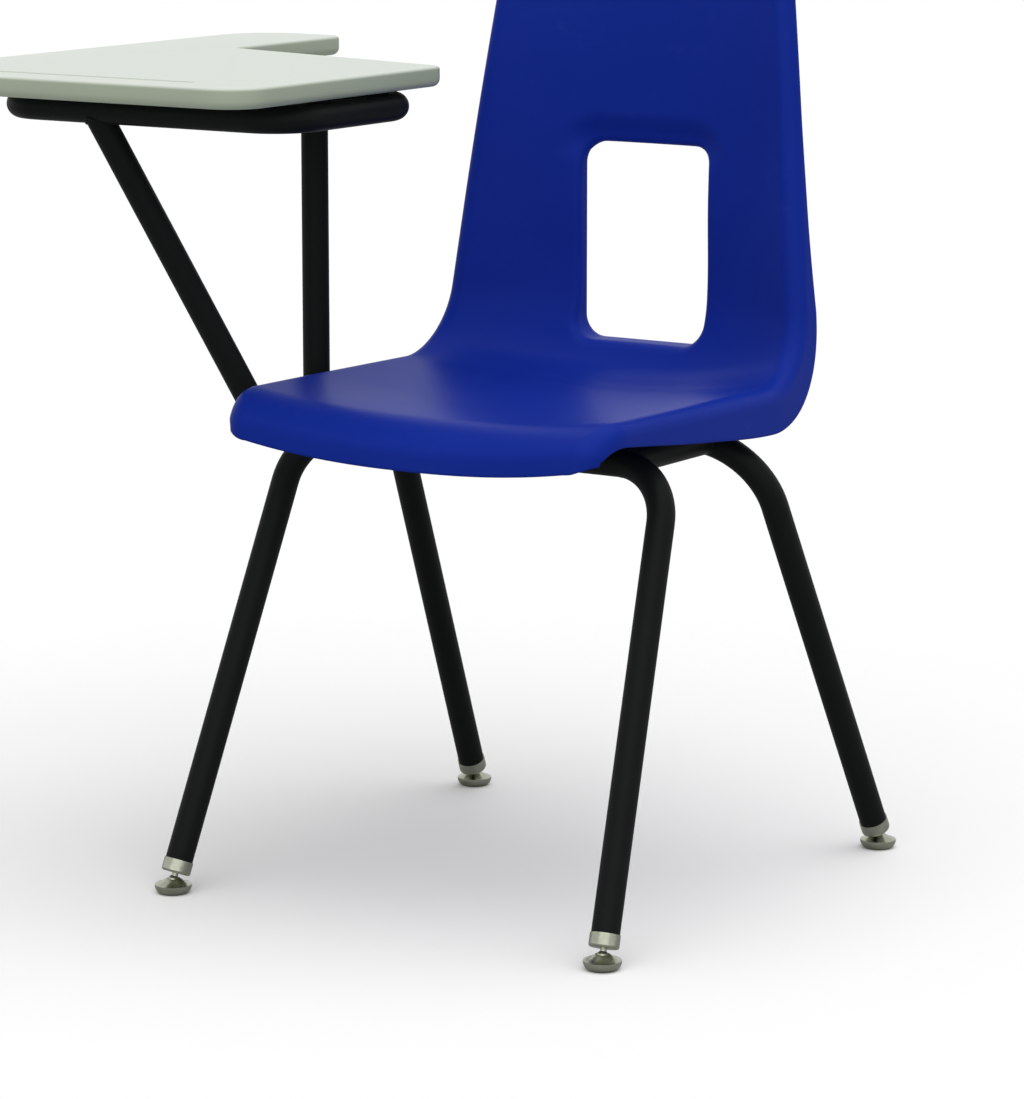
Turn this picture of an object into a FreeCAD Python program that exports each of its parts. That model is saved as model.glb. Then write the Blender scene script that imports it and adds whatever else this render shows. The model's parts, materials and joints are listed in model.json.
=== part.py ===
import FreeCAD, Part
import math
import os
import re

import Sketcher
from FreeCAD import Placement, Rotation, Vector
from types import SimpleNamespace

# Student chair with a fixed writing tablet on the sitter's right. X runs to the sitter's left,
# Y to the back and Z up; X is 0 on the chair's middle plane and Y is 0 at the front feet.
# Driving dimensions, in millimetres and degrees.
SIZES = {
    # one stock of steel tube for the frame and the arm
    "tube_diameter": 25.4,
    "tube_wall": 1.6,
    "weld_gap": 0.1,
    # under-frame: two bent tubes, each a pair of legs, and two rails between their cross runs
    "frame_height": 412.7,
    "front_foot_spread": 232.0,
    "front_corner_spread": 199.0,
    "front_corner_y": 159.0,
    "front_bend": 54.0,
    "rear_foot_spread": 231.0,
    "rear_foot_y": 499.0,
    "rear_corner_spread": 200.0,
    "rear_corner_y": 311.0,
    "rear_bend": 72.0,
    "rail_spread": 150.0,
    # mounting tabs on the cross runs, and the screws that hold the seat
    "tab_width": 36.0,
    "tab_reach": 36.0,
    "tab_back": 8.0,
    "tab_thickness": 3.0,
    "tab_corner": 6.0,
    "tab_spread": 112.0,
    "seat_hole_reach": 22.0,
    "screw_shank": 4.8,
    "screw_head": 9.5,
    "screw_head_height": 3.0,
    "screw_dome_share": 1.1,
    "screw_clearance": 0.2,
    "seat_screw_length": 17.0,
    "board_screw_length": 15.0,
    # moulded seat and back: the crest is the highest line of the rolled edge
    "shell_wall": 5.0,
    "seat_rise": 37.6,
    "seat_front_y": 28.0,
    "seat_corner_y": 393.0,
    "seat_fall_angle": 0.6,
    "back_lean_angle": 5.9,
    "overall_height": 832.0,
    "waterfall_radius": 53.5,
    "seat_back_radius": 70.0,
    "top_roll_radius": 22.0,
    "lip_angle": 76.0,
    "lip_corner_lift_angle": 12.5,
    "top_roll_end_angle": 14.0,
    "top_corner_lift_angle": 22.0,
    "seat_half_width": 207.0,
    "lip_half_width": 205.5,
    "back_half_width_low": 196.0,
    "back_half_width_middle": 180.0,
    "back_half_width_high": 161.0,
    "back_half_width_top": 155.5,
    "crest_radius": 14.0,
    "lip_corner_radius": 35.0,
    "top_corner_radius": 45.0,
    "flange_front": 21.0,
    "flange_seat": 32.5,
    "flange_rear": 40.5,
    "flange_heel": 39.5,
    "flange_back": 27.0,
    "flange_low_back": 17.5,
    "flange_high_back": 14.0,
    "flange_lip": 15.5,
    "flange_top": 14.0,
    "flange_draft_angle": 4.0,
    "dish_lip": 12.5,
    "dish_front": 12.0,
    "dish_seat": 15.0,
    "dish_low_heel": 21.0,
    "dish_heel": 40.0,
    "dish_low_back": 43.0,
    "dish_mid_back": 33.0,
    "dish_high_back": 27.0,
    "dish_top": 21.0,
    "dish_power_share": 2.3,
    "heel_share": 0.25,
    "hip_share": 0.6,
    "low_back_share": 0.33,
    "middle_back_share": 0.5,
    "high_back_share": 0.66,
    "boss_radius": 11.0,
    # how far the shell's cutting tools reach past it, and its finest measuring step
    "cut_overrun": 90.0,
    "surface_step": 0.01,
    # window in the back, with a return flange behind its rim
    "window_half_width": 70.0,
    "window_rise": 13.0,
    "window_height": 187.0,
    "window_corner": 21.0,
    "window_rim_wall": 4.5,
    "window_rim_depth": 10.0,
    "window_rim_round": 3.0,
    # writing board and the tube ring that carries it
    "board_height": 744.0,
    "board_thickness": 19.0,
    "board_inner_x": 113.5,
    "board_outer_x": 525.0,
    "board_front_y": -43.0,
    "board_tip_y": 274.0,
    "board_notch_x": 413.0,
    "board_notch_y": 347.0,
    "board_rear_y": 537.0,
    "board_front_corner": 40.0,
    "board_tip_corner": 17.0,
    "board_notch_corner": 15.0,
    "board_end_corner": 18.0,
    "board_outer_corner": 58.0,
    "board_edge_round": 3.5,
    "groove_inset": 43.0,
    "groove_half_length": 142.0,
    "groove_centre_x": 337.0,
    "groove_width": 8.0,
    "groove_depth": 2.0,
    "ring_inner_x": 130.0,
    "ring_outer_x": 454.0,
    "ring_front_y": 48.0,
    "ring_bend": 40.0,
    "strap_width": 28.0,
    "strap_thickness": 3.0,
    "strap_front_share": 0.27,
    "strap_rear_share": 0.73,
    "strap_hole_inset": 60.0,
    # arm: an upright post and a slanting strut
    "arm_gap": 21.3,
    "post_y": 245.0,
    "post_run_drop": 14.7,
    "post_bend": 45.0,
    "strut_top_x": 345.5,
    "strut_bend": 45.0,
    "strut_reach": 20.0,
    # swivel glides: measured along the leg from the ball's centre, or up from the floor
    "ball_height": 11.0,
    "ball_radius": 5.6,
    "ball_clearance": 0.1,
    "neck_radius": 3.0,
    "neck_length": 7.5,
    "stud_clearance": 0.06,
    "stud_collar_radius": 5.0,
    "stud_collar_height": 2.0,
    "stud_float": 0.3,
    "ferrule_wall": 0.8,
    "ferrule_floor": 1.5,
    "ferrule_height": 12.5,
    "ferrule_round": 2.4,
    "plug_height": 16.0,
    "tube_fit": 0.05,
    "foot_radius": 17.0,
    "foot_flat_radius": 12.5,
    "foot_rim_height": 6.6,
    "foot_rim_land": 1.2,
    "foot_wall": 1.2,
    "foot_bowl_radius": 9.0,
    "mouth_radius": 5.1,
    "cap_lip": 1.3,
    "cap_cone_radius": 30.0,
}

dim = SimpleNamespace(**SIZES)

# Sizes worked out from the driving ones
dim.tube_radius = dim.tube_diameter / 2
dim.bore_radius = dim.tube_radius - dim.tube_wall
dim.frame_top = dim.frame_height + dim.tube_radius
dim.tab_top = dim.frame_top + dim.weld_gap + dim.tab_thickness
dim.crest_height = dim.frame_top + dim.seat_rise
dim.window_bottom = dim.crest_height + dim.window_rise
dim.window_top = dim.window_bottom + dim.window_height
dim.board_bottom = dim.board_height - dim.board_thickness
dim.strap_bottom = dim.board_bottom - dim.strap_thickness
dim.ring_height = dim.strap_bottom - dim.weld_gap - dim.tube_radius
dim.ring_rear_y = dim.post_y
dim.post_x = dim.seat_half_width + dim.arm_gap + dim.tube_radius
dim.post_run_height = dim.frame_height - dim.post_run_drop
dim.ferrule_radius = dim.tube_radius + dim.tube_fit + dim.ferrule_wall
dim.tube_end = dim.neck_length + dim.ferrule_floor + dim.tube_fit
dim.plug_radius = dim.bore_radius - dim.tube_fit
dim.plug_end = dim.tube_end + dim.plug_height
dim.stud_bore = dim.neck_radius + dim.stud_clearance
dim.screw_radius = dim.screw_shank / 2
dim.screw_hole = dim.screw_radius + dim.screw_clearance
dim.screw_head_radius = dim.screw_head / 2
dim.socket_radius = dim.ball_radius + dim.ball_clearance
dim.cushion_top = dim.ball_height - dim.tube_fit
dim.cushion_mouth = math.sqrt(dim.socket_radius ** 2 - dim.tube_fit ** 2)
dim.neck_start = math.sqrt(dim.ball_radius ** 2 - dim.neck_radius ** 2)
dim.mouth_height = dim.ball_height + math.sqrt(dim.socket_radius ** 2 - dim.mouth_radius ** 2)
dim.groove_radius = (dim.groove_width ** 2 / 4 + dim.groove_depth ** 2) / (2 * dim.groove_depth)
dim.groove_axis = dim.board_thickness - dim.groove_depth + dim.groove_radius
dim.groove_y = dim.board_front_y + dim.groove_inset

# The whole object's box, whose bottom centre is the part's origin
low_x = -dim.board_outer_x
high_x = max(dim.front_foot_spread, dim.rear_foot_spread) + dim.foot_radius
low_y = min(dim.board_front_y, -dim.foot_radius)
high_y = max(dim.rear_foot_y + dim.foot_radius, dim.board_rear_y)
dim.origin_x = -(low_x + high_x) / 2
dim.origin_y = -(low_y + high_y) / 2


class Leg:
    """One leaning plane that holds a pair of legs: its height, its lean and the legs' splay."""

    def __init__(self, foot_spread, foot_y, corner_spread, corner_y):
        rise = dim.frame_height - dim.ball_height
        run = corner_y - foot_y
        self.height = math.hypot(rise, run)
        self.lean = math.degrees(math.atan2(run, rise))
        inward = foot_spread - corner_spread
        self.splay = math.degrees(math.atan2(inward, self.height))
        length = math.hypot(inward, self.height)
        self.end_x = foot_spread - dim.tube_end * inward / length
        self.end_z = dim.tube_end * self.height / length
        self.rotation = Rotation(Vector(1, 0, 0), -self.lean)


front = Leg(dim.front_foot_spread, 0.0, dim.front_corner_spread, dim.front_corner_y)
rear = Leg(dim.rear_foot_spread, dim.rear_foot_y, dim.rear_corner_spread, dim.rear_corner_y)
dim.front_leg_height = front.height
dim.front_end_x = front.end_x
dim.front_end_z = front.end_z
dim.rear_leg_height = rear.height
dim.rear_end_x = rear.end_x
dim.rear_end_z = rear.end_z
strut_rise = dim.ring_height - dim.frame_height
strut_run = dim.ring_front_y - dim.front_corner_y
dim.strut_height = math.hypot(strut_rise, strut_run)
dim.strut_top_out = dim.post_x - dim.strut_top_x
dim.strut_end = dim.post_x - dim.front_corner_spread + dim.strut_reach
strut_lean = math.degrees(math.atan2(-strut_run, strut_rise))

doc = FreeCAD.newDocument("tablet_arm_chair")
sheet = doc.addObject("Spreadsheet::Sheet", "Sizes")
for row, (alias, value) in enumerate(vars(dim).items(), 1):
    sheet.set(f"A{row}", alias)
    sheet.set(f"B{row}", repr(float(value)))
    sheet.setAlias(f"B{row}", alias)
doc.recompute()
# From here on the sizes are read back from the sheet
dim = SimpleNamespace(**{alias: float(sheet.get(alias)) for alias in vars(dim)})

WORD = re.compile(r"[a-z][a-z_]+")
subparts = []


def bound(text):
    """The same expression with each size named as a cell of the sheet."""
    return WORD.sub(lambda word: f"Sizes.{word[0]}" if hasattr(dim, word[0]) else word[0], text)


def number(text):
    return float(sheet.evalExpression(bound(text)))


def keep(item, label):
    """Note a finished sub-part under the name of its file."""
    item.Label = label
    subparts.append(item)
    return item


def place(item, x, y, z, rotation=None):
    """Put a sub-part at x, y, z of the chair, each an expression, turned by the rotation."""
    item.Placement = Placement(Vector(0, 0, 0), rotation or Rotation())
    item.setExpression(".Placement.Base.x", bound(f"{x} + origin_x"))
    item.setExpression(".Placement.Base.y", bound(f"{y} + origin_y"))
    item.setExpression(".Placement.Base.z", bound(z))
    return item


def new_body(name):
    return doc.addObject("PartDesign::Body", name)


def new_sketch(body, name, role, offset=None):
    """A sketch on one of the body's own origin planes, moved within it by the offset."""
    sketch = body.newObject("Sketcher::SketchObject", name)
    plane = next(item for item in body.Origin.OriginFeatures if item.Role == role)
    sketch.AttachmentSupport = [(plane, "")]
    sketch.MapMode = "FlatFace"
    if offset:
        sketch.AttachmentOffset = offset
    return sketch


def pin(sketch, item, end, x, y):
    """Hold one point of a sketch at x, y, each an expression."""
    for kind, text, axis in (("DistanceX", x, -2), ("DistanceY", y, -1)):
        if text == "0":
            sketch.addConstraint(Sketcher.Constraint("PointOnObject", item, end, axis))
            continue
        index = sketch.addConstraint(Sketcher.Constraint(kind, -1, 1, item, end, number(text)))
        sketch.setExpression(f"Constraints[{index}]", bound(text))


def set_radius(sketch, item, text):
    index = sketch.addConstraint(Sketcher.Constraint("Radius", item, number(text)))
    sketch.setExpression(f"Constraints[{index}]", bound(text))


def add_circle(sketch, x, y, radius):
    centre = Vector(number(x), number(y), 0)
    item = sketch.addGeometry(Part.Circle(centre, Vector(0, 0, 1), number(radius)), False)
    pin(sketch, item, 3, x, y)
    set_radius(sketch, item, radius)


def nearest_end(sketch, item, point):
    """1 if the curve starts at the point, 2 if it ends there."""
    starts = sketch.getPoint(item, 1).distanceToPoint(point)
    ends = sketch.getPoint(item, 2).distanceToPoint(point)
    return 1 if starts < ends else 2


def add_bent_line(sketch, corners, radii, closed=False):
    """Straight runs through the corners, each corner rounded by a tangent arc of its radius.

    Corners are pairs of expressions. A radius is an expression, or None for a sharp corner.
    """
    spots = [Vector(number(x), number(y), 0) for x, y in corners]
    count = len(spots)
    rounds = {}
    for index, radius in enumerate(radii):
        if radius is None:
            continue
        spot = spots[index]
        back = (spots[index - 1] - spot).normalize()
        ahead = (spots[(index + 1) % count] - spot).normalize()
        half = back.getAngle(ahead) / 2
        middle = (back + ahead).normalize()
        size = number(radius)
        reach = size / math.tan(half)
        first = spot + back * reach
        last = spot + ahead * reach
        crown = spot + middle * (size / math.sin(half) - size)
        rounds[index] = (first, crown, last)
    runs = []
    for index in range(count if closed else count - 1):
        following = (index + 1) % count
        begin = rounds[index][2] if index in rounds else spots[index]
        finish = rounds[following][0] if following in rounds else spots[following]
        runs.append(sketch.addGeometry(Part.LineSegment(begin, finish), False))
    for index, (first, crown, last) in rounds.items():
        arc = sketch.addGeometry(Part.Arc(first, crown, last), False)
        before = runs[index - 1]
        after = runs[index]
        start = nearest_end(sketch, arc, first)
        sketch.addConstraint(Sketcher.Constraint("Tangent", before, 2, arc, start))
        sketch.addConstraint(Sketcher.Constraint("Tangent", arc, 3 - start, after, 1))
        set_radius(sketch, arc, radii[index])
        corner = sketch.addGeometry(Part.Point(spots[index]), True)
        pin(sketch, corner, 1, *corners[index])
        sketch.addConstraint(Sketcher.Constraint("PointOnObject", corner, 1, before))
        sketch.addConstraint(Sketcher.Constraint("PointOnObject", corner, 1, after))
    for index in range(count):
        if index in rounds:
            continue
        if closed or index < count - 1:
            pin(sketch, runs[index], 1, *corners[index])
        else:
            pin(sketch, runs[index - 1], 2, *corners[index])
        if closed or 0 < index < count - 1:
            sketch.addConstraint(Sketcher.Constraint("Coincident", runs[index - 1], 2, runs[index], 1))


def add_profile(sketch, corners, arcs):
    """A closed outline through the corners; arcs gives, by edge, a radius and the side it bulges to.

    The side is 1 where the arc's middle lies to the left of the way from corner to corner.
    """
    spots = [Vector(number(x), number(y), 0) for x, y in corners]
    items = []
    for index, spot in enumerate(spots):
        goal = spots[(index + 1) % len(spots)]
        if index not in arcs:
            items.append((sketch.addGeometry(Part.LineSegment(spot, goal), False), 1))
            continue
        text, side = arcs[index]
        chord = goal - spot
        radius = number(text)
        sag = radius - math.sqrt(radius ** 2 - (chord.Length / 2) ** 2)
        left = Vector(-chord.y, chord.x, 0).normalize()
        crown = (spot + goal) * 0.5 + left * (side * sag)
        item = sketch.addGeometry(Part.Arc(spot, crown, goal), False)
        set_radius(sketch, item, text)
        items.append((item, nearest_end(sketch, item, spot)))
    for index, (item, start) in enumerate(items):
        before, before_start = items[index - 1]
        sketch.addConstraint(Sketcher.Constraint("Coincident", before, 3 - before_start, item, start))
        pin(sketch, item, start, *corners[index])


def pad(body, sketch, length, name):
    feature = body.newObject("PartDesign::Pad", name)
    feature.Profile = sketch
    feature.setExpression("Length", bound(length))
    return feature


def revolve(name, corners, arcs):
    """A body turned about its own Z axis from an outline of radius and height."""
    body = new_body(name)
    sketch = new_sketch(body, f"{name}_outline", "XZ_Plane")
    add_profile(sketch, corners, arcs)
    turned = body.newObject("PartDesign::Revolution", f"{name}_turned")
    turned.Profile = sketch
    turned.ReferenceAxis = (sketch, ["V_Axis"])
    turned.Angle = 360
    body.Tip = turned
    return body


def bent_tube(name, corners, radii, start, hollow=True, closed=False, spare="0"):
    """A tube carried along a bent line in the body's XZ plane.

    start is the Placement of its first section. A solid one with some spare radius cuts the
    coped ends of the tubes that are welded to it.
    """
    body = new_body(name)
    line = new_sketch(body, f"{name}_line", "XZ_Plane")
    add_bent_line(line, corners, radii, closed)
    steps = [("AdditivePipe", "wall", f"tube_radius + {spare}")]
    if hollow:
        steps.append(("SubtractivePipe", "bore", "bore_radius"))
    for kind, step, radius in steps:
        section = new_sketch(body, f"{name}_{step}_section", "XY_Plane", start)
        add_circle(section, "0", "0", radius)
        pipe = body.newObject(f"PartDesign::{kind}", f"{name}_{step}")
        pipe.Profile = section
        pipe.Spine = line
        pipe.Mode = "Standard"
        body.Tip = pipe
    return body


def cope(base, *tools):
    """Cut a tube's end to the shape of the tubes that it meets."""
    item = base
    for tool in tools:
        cut = doc.addObject("Part::Cut", f"{base.Name}_coped_to_{tool.Name}")
        cut.Base = item
        cut.Tool = tool
        item = cut
    return item


def leg_pair(name, leg, prefix, foot_y, spare=None):
    """A pair of legs and the cross run between them, bent from one tube."""
    corners = [
        (f"{prefix}_end_x", f"{prefix}_end_z"),
        (f"{prefix}_corner_spread", f"{prefix}_leg_height"),
        (f"-{prefix}_corner_spread", f"{prefix}_leg_height"),
        (f"-{prefix}_end_x", f"{prefix}_end_z"),
    ]
    radii = [None, f"{prefix}_bend", f"{prefix}_bend", None]
    start = Placement(Vector(leg.end_x, 0, leg.end_z), Rotation(Vector(0, 1, 0), -leg.splay))
    body = bent_tube(name, corners, radii, start, spare is None, spare=spare or "0")
    return place(body, "0", foot_y, "ball_height", leg.rotation)


front_leg_tube = keep(leg_pair("front_leg_tube", front, "front", "0"), "front_leg_tube")
rear_leg_tube = keep(leg_pair("rear_leg_tube", rear, "rear", "rear_foot_y"), "rear_leg_tube")
front_envelope = leg_pair("front_envelope", front, "front", "0", "weld_gap")
rear_envelope = leg_pair("rear_envelope", rear, "rear", "rear_foot_y", "weld_gap")


def straight_tube(name, length, hollow=True, spare="0"):
    """A straight tube along Y from its own origin."""
    body = new_body(name)
    section = new_sketch(body, f"{name}_section", "XZ_Plane")
    add_circle(section, "0", "0", f"tube_radius + {spare}")
    if hollow:
        add_circle(section, "0", "0", "bore_radius")
    feature = pad(body, section, length, f"{name}_run")
    feature.Reversed = True
    return body


# Side rails, their ends coped to the two cross runs
rail_envelopes = {}
for side, sign in (("left", ""), ("right", "-")):
    where = (f"{sign}rail_spread", "front_corner_y", "frame_height")
    rail = straight_tube(f"{side}_rail", "rear_corner_y - front_corner_y")
    place(rail, *where)
    keep(cope(rail, front_envelope, rear_envelope), f"{side}_side_rail")
    envelope = straight_tube(f"{side}_rail_envelope", "rear_corner_y - front_corner_y", False, "weld_gap")
    rail_envelopes[side] = place(envelope, *where)


def tablet_ring(name, spare=None):
    """The closed loop of tube under the writing board, in the body's XZ plane laid level."""
    corners = [
        ("-ring_outer_x", "ring_front_y"),
        ("-ring_inner_x", "ring_front_y"),
        ("-ring_inner_x", "ring_rear_y"),
        ("-ring_outer_x", "ring_rear_y"),
    ]
    spot = Vector(dim.ring_bend - dim.ring_outer_x, 0, dim.ring_front_y)
    start = Placement(spot, Rotation(Vector(0, 1, 0), 90))
    radii = ["ring_bend"] * len(corners)
    body = bent_tube(name, corners, radii, start, spare is None, closed=True, spare=spare or "0")
    return place(body, "0", "0", "ring_height", Rotation(Vector(1, 0, 0), -90))


keep(tablet_ring("tablet_ring"), "tablet_ring")
ring_envelope = tablet_ring("ring_envelope", "weld_gap")

# The upright post turns in below the seat's edge and meets the right side rail
post = bent_tube(
    "post",
    [("-post_x", "ring_height"), ("-post_x", "post_run_height"), ("-rail_spread", "post_run_height")],
    [None, "post_bend", None],
    Placement(Vector(-dim.post_x, 0, dim.ring_height), Rotation()),
)
place(post, "0", "post_y", "0")
keep(cope(post, ring_envelope, rail_envelopes["right"]), "arm_post")

# The strut slants forward and out, and its foot runs in line with the front cross run
strut_turn = math.degrees(math.atan2(dim.strut_top_out, dim.strut_height))
strut = bent_tube(
    "strut",
    [("strut_top_out", "strut_height"), ("0", "0"), ("strut_end", "0")],
    [None, "strut_bend", None],
    Placement(Vector(dim.strut_top_out, 0, dim.strut_height), Rotation(Vector(0, 1, 0), strut_turn)),
)
place(strut, "-post_x", "front_corner_y", "frame_height", Rotation(Vector(1, 0, 0), strut_lean))
keep(cope(strut, ring_envelope, front_envelope), "arm_strut")


def mounting_tab(name, x, y, turned):
    """A flat tab on a cross run, with the hole for one seat screw."""
    body = new_body(name)
    sketch = new_sketch(body, f"{name}_outline", "XY_Plane")
    corners = [
        ("-tab_width / 2", "-tab_back"),
        ("tab_width / 2", "-tab_back"),
        ("tab_width / 2", "tab_reach"),
        ("-tab_width / 2", "tab_reach"),
    ]
    add_bent_line(sketch, corners, ["tab_corner"] * len(corners), closed=True)
    add_circle(sketch, "0", "seat_hole_reach", "screw_hole")
    pad(body, sketch, "tab_thickness", f"{name}_plate")
    turn = Rotation(Vector(0, 0, 1), 180 if turned else 0)
    return place(body, x, y, "frame_top + weld_gap", turn)


def screw(name, length):
    """A pan head screw whose head bears on z = 0 and whose shank points up."""
    corners = [
        ("0", "-screw_head_height"),
        ("screw_head_radius", "0"),
        ("screw_radius", "0"),
        ("screw_radius", f"{length} - screw_radius"),
        ("0", length),
    ]
    return revolve(name, corners, {0: ("screw_head_radius * screw_dome_share", -1)})


def group(label, items):
    """Identical fasteners share one node as separate solids."""
    compound = doc.addObject("Part::Compound", label)
    compound.Links = items
    return keep(compound, label)


seat_screws = []
for end, turned in (("front", False), ("rear", True)):
    for side, sign in (("left", ""), ("right", "-")):
        name = f"{end}_{side}"
        tab = mounting_tab(f"{name}_tab", f"{sign}tab_spread", f"{end}_corner_y", turned)
        keep(tab, f"{name}_seat_tab")
        reach = "-" if turned else "+"
        item = screw(f"{name}_screw", "seat_screw_length")
        y = f"{end}_corner_y {reach} seat_hole_reach"
        seat_screws.append(place(item, f"{sign}tab_spread", y, "frame_top + weld_gap"))
group("seat_screws", seat_screws)

# Two flat straps cross the ring, and the writing board is screwed down through them
board_screws = []
for end in ("front", "rear"):
    body = new_body(f"{end}_strap")
    sketch = new_sketch(body, f"{end}_strap_outline", "XY_Plane")
    corners = [
        ("-ring_outer_x", "-strap_width / 2"),
        ("-ring_inner_x", "-strap_width / 2"),
        ("-ring_inner_x", "strap_width / 2"),
        ("-ring_outer_x", "strap_width / 2"),
    ]
    add_bent_line(sketch, corners, [None] * len(corners), closed=True)
    y = f"ring_front_y + strap_{end}_share * (ring_rear_y - ring_front_y)"
    for x in ("-ring_outer_x + strap_hole_inset", "-ring_inner_x - strap_hole_inset"):
        add_circle(sketch, x, "0", "screw_hole")
        item = screw(f"board_screw_{len(board_screws)}", "board_screw_length")
        board_screws.append(place(item, x, y, "strap_bottom"))
    pad(body, sketch, "strap_thickness", f"{end}_strap_plate")
    keep(place(body, "0", y, "strap_bottom"), f"{end}_tablet_strap")
group("tablet_screws", board_screws)

# Writing board: an L in plan with an elbow rest behind, its edges rounded and a pencil groove
board = new_body("board")
sketch = new_sketch(board, "board_outline", "XY_Plane")
board_corners = [
    ("-board_outer_x", "board_front_y"),
    ("-board_inner_x", "board_front_y"),
    ("-board_inner_x", "board_tip_y"),
    ("-board_notch_x", "board_notch_y"),
    ("-board_notch_x", "board_rear_y"),
    ("-board_outer_x", "board_rear_y"),
]
board_radii = [
    "board_front_corner",
    "board_front_corner",
    "board_tip_corner",
    "board_notch_corner",
    "board_end_corner",
    "board_outer_corner",
]
add_bent_line(sketch, board_corners, board_radii, closed=True)
board_pad = pad(board, sketch, "board_thickness", "board_plate")
doc.recompute()


def level_edges(shape):
    """Names of the edges that lie level, round the top and the bottom of a plate."""
    edges = enumerate(shape.Edges, 1)
    return [f"Edge{index}" for index, edge in edges if edge.BoundBox.ZLength < dim.weld_gap]


board_round = board.newObject("PartDesign::Fillet", "board_rounded_edge")
board_round.Base = (board_pad, level_edges(board_pad.Shape))
board_round.setExpression("Radius", bound("board_edge_round"))

groove_plane = Placement(Vector(0, 0, -dim.groove_y), Rotation())
sketch = new_sketch(board, "groove_outline", "XZ_Plane", groove_plane)
groove_corners = [
    ("-groove_centre_x - groove_half_length", "groove_axis"),
    ("-groove_centre_x - groove_half_length + groove_radius", "groove_axis - groove_radius"),
    ("-groove_centre_x + groove_half_length - groove_radius", "groove_axis - groove_radius"),
    ("-groove_centre_x + groove_half_length", "groove_axis"),
]
add_profile(sketch, groove_corners, {0: ("groove_radius", -1), 2: ("groove_radius", -1)})
ends = [Vector(number(x), number(z), 0) for x, z in (groove_corners[0], groove_corners[-1])]
axis = sketch.addGeometry(Part.LineSegment(*ends), True)
sketch.addConstraint(Sketcher.Constraint("Coincident", axis, 1, 0, nearest_end(sketch, 0, ends[0])))
sketch.addConstraint(Sketcher.Constraint("Coincident", axis, 2, 3, 1))
groove = board.newObject("PartDesign::Groove", "pencil_groove")
groove.Profile = sketch
groove.ReferenceAxis = (sketch, ["Axis0"])
groove.Angle = 360
board_holes = new_sketch(board, "board_holes", "XY_Plane")
for end in ("front", "rear"):
    y = f"ring_front_y + strap_{end}_share * (ring_rear_y - ring_front_y)"
    for x in ("-ring_outer_x + strap_hole_inset", "-ring_inner_x - strap_hole_inset"):
        add_circle(board_holes, x, y, "screw_hole")
drilled = board.newObject("PartDesign::Pocket", "board_screw_holes")
drilled.Profile = board_holes
drilled.Reversed = True
drilled.setExpression("Length", bound("board_screw_length - strap_thickness + screw_clearance"))
board.Tip = drilled
keep(place(board, "0", "0", "board_bottom"), "tablet_top")

# Swivel glides: each has a ferrule on the leg, a ball stud that turns in it, and a foot on the ball
FERRULE = [
    ("stud_bore", "neck_length"),
    ("ferrule_radius - ferrule_round", "neck_length"),
    ("ferrule_radius", "neck_length + ferrule_round"),
    ("ferrule_radius", "neck_length + ferrule_height"),
    ("tube_radius + tube_fit", "neck_length + ferrule_height"),
    ("tube_radius + tube_fit", "neck_length + ferrule_floor"),
    ("plug_radius", "neck_length + ferrule_floor"),
    ("plug_radius", "plug_end"),
    ("stud_bore", "plug_end"),
]
STUD = [
    ("0", "-ball_radius"),
    ("neck_radius", "neck_start"),
    ("neck_radius", "plug_end + stud_float"),
    ("stud_collar_radius", "plug_end + stud_float"),
    ("stud_collar_radius", "plug_end + stud_float + stud_collar_height"),
    ("0", "plug_end + stud_float + stud_collar_height"),
]
FOOT_BASE = [
    ("0", "0"),
    ("foot_flat_radius", "0"),
    ("foot_radius", "foot_rim_height"),
    ("foot_radius", "foot_rim_height + foot_rim_land"),
    ("foot_radius - foot_wall", "foot_rim_height + foot_rim_land"),
    ("foot_radius - foot_wall", "foot_rim_height"),
    ("foot_flat_radius - foot_wall / 2", "foot_wall"),
    ("0", "foot_wall"),
]
FOOT_CAP = [
    ("foot_radius", "foot_rim_height + foot_rim_land"),
    ("foot_radius", "foot_rim_height + foot_rim_land + foot_wall / 2"),
    ("mouth_radius + cap_lip", "mouth_height"),
    ("mouth_radius", "mouth_height"),
    ("socket_radius", "ball_height"),
    ("foot_radius - foot_wall", "foot_rim_height + foot_rim_land"),
]
FOOT_CUSHION = [
    ("0", "foot_wall"),
    ("foot_flat_radius - foot_wall / 2 - tube_fit", "foot_wall"),
    ("foot_radius - foot_wall - tube_fit", "foot_rim_height"),
    ("foot_radius - foot_wall - tube_fit", "foot_rim_height + foot_rim_land - tube_fit"),
    ("cushion_mouth", "cushion_top"),
    ("0", "ball_height - socket_radius"),
]
BOWL = "foot_bowl_radius"
INNER_BOWL = "foot_bowl_radius - foot_wall"
for end, leg in (("front", front), ("rear", rear)):
    for side, sign, way in (("left", "", 1), ("right", "-", -1)):
        name = f"{end}_{side}"
        spot = (f"{sign}{end}_foot_spread", "0" if end == "front" else "rear_foot_y")
        along_leg = leg.rotation.multiply(Rotation(Vector(0, 1, 0), -way * leg.splay))
        item = revolve(f"{name}_ferrule", FERRULE, {1: ("ferrule_round", -1)})
        keep(place(item, *spot, "ball_height", along_leg), f"{name}_glide_ferrule")
        item = revolve(f"{name}_stud", STUD, {0: ("ball_radius", -1)})
        keep(place(item, *spot, "ball_height", along_leg), f"{name}_glide_stud")
        item = revolve(f"{name}_base", FOOT_BASE, {1: (BOWL, -1), 5: (INNER_BOWL, 1)})
        keep(place(item, *spot, "0"), f"{name}_glide_base")
        item = revolve(f"{name}_cap", FOOT_CAP, {1: ("cap_cone_radius", 1), 3: ("socket_radius", 1)})
        keep(place(item, *spot, "0"), f"{name}_glide_cap")
        item = revolve(f"{name}_cushion", FOOT_CUSHION, {1: (INNER_BOWL, -1), 4: ("socket_radius", 1)})
        keep(place(item, *spot, "0"), f"{name}_glide_cushion")


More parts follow.
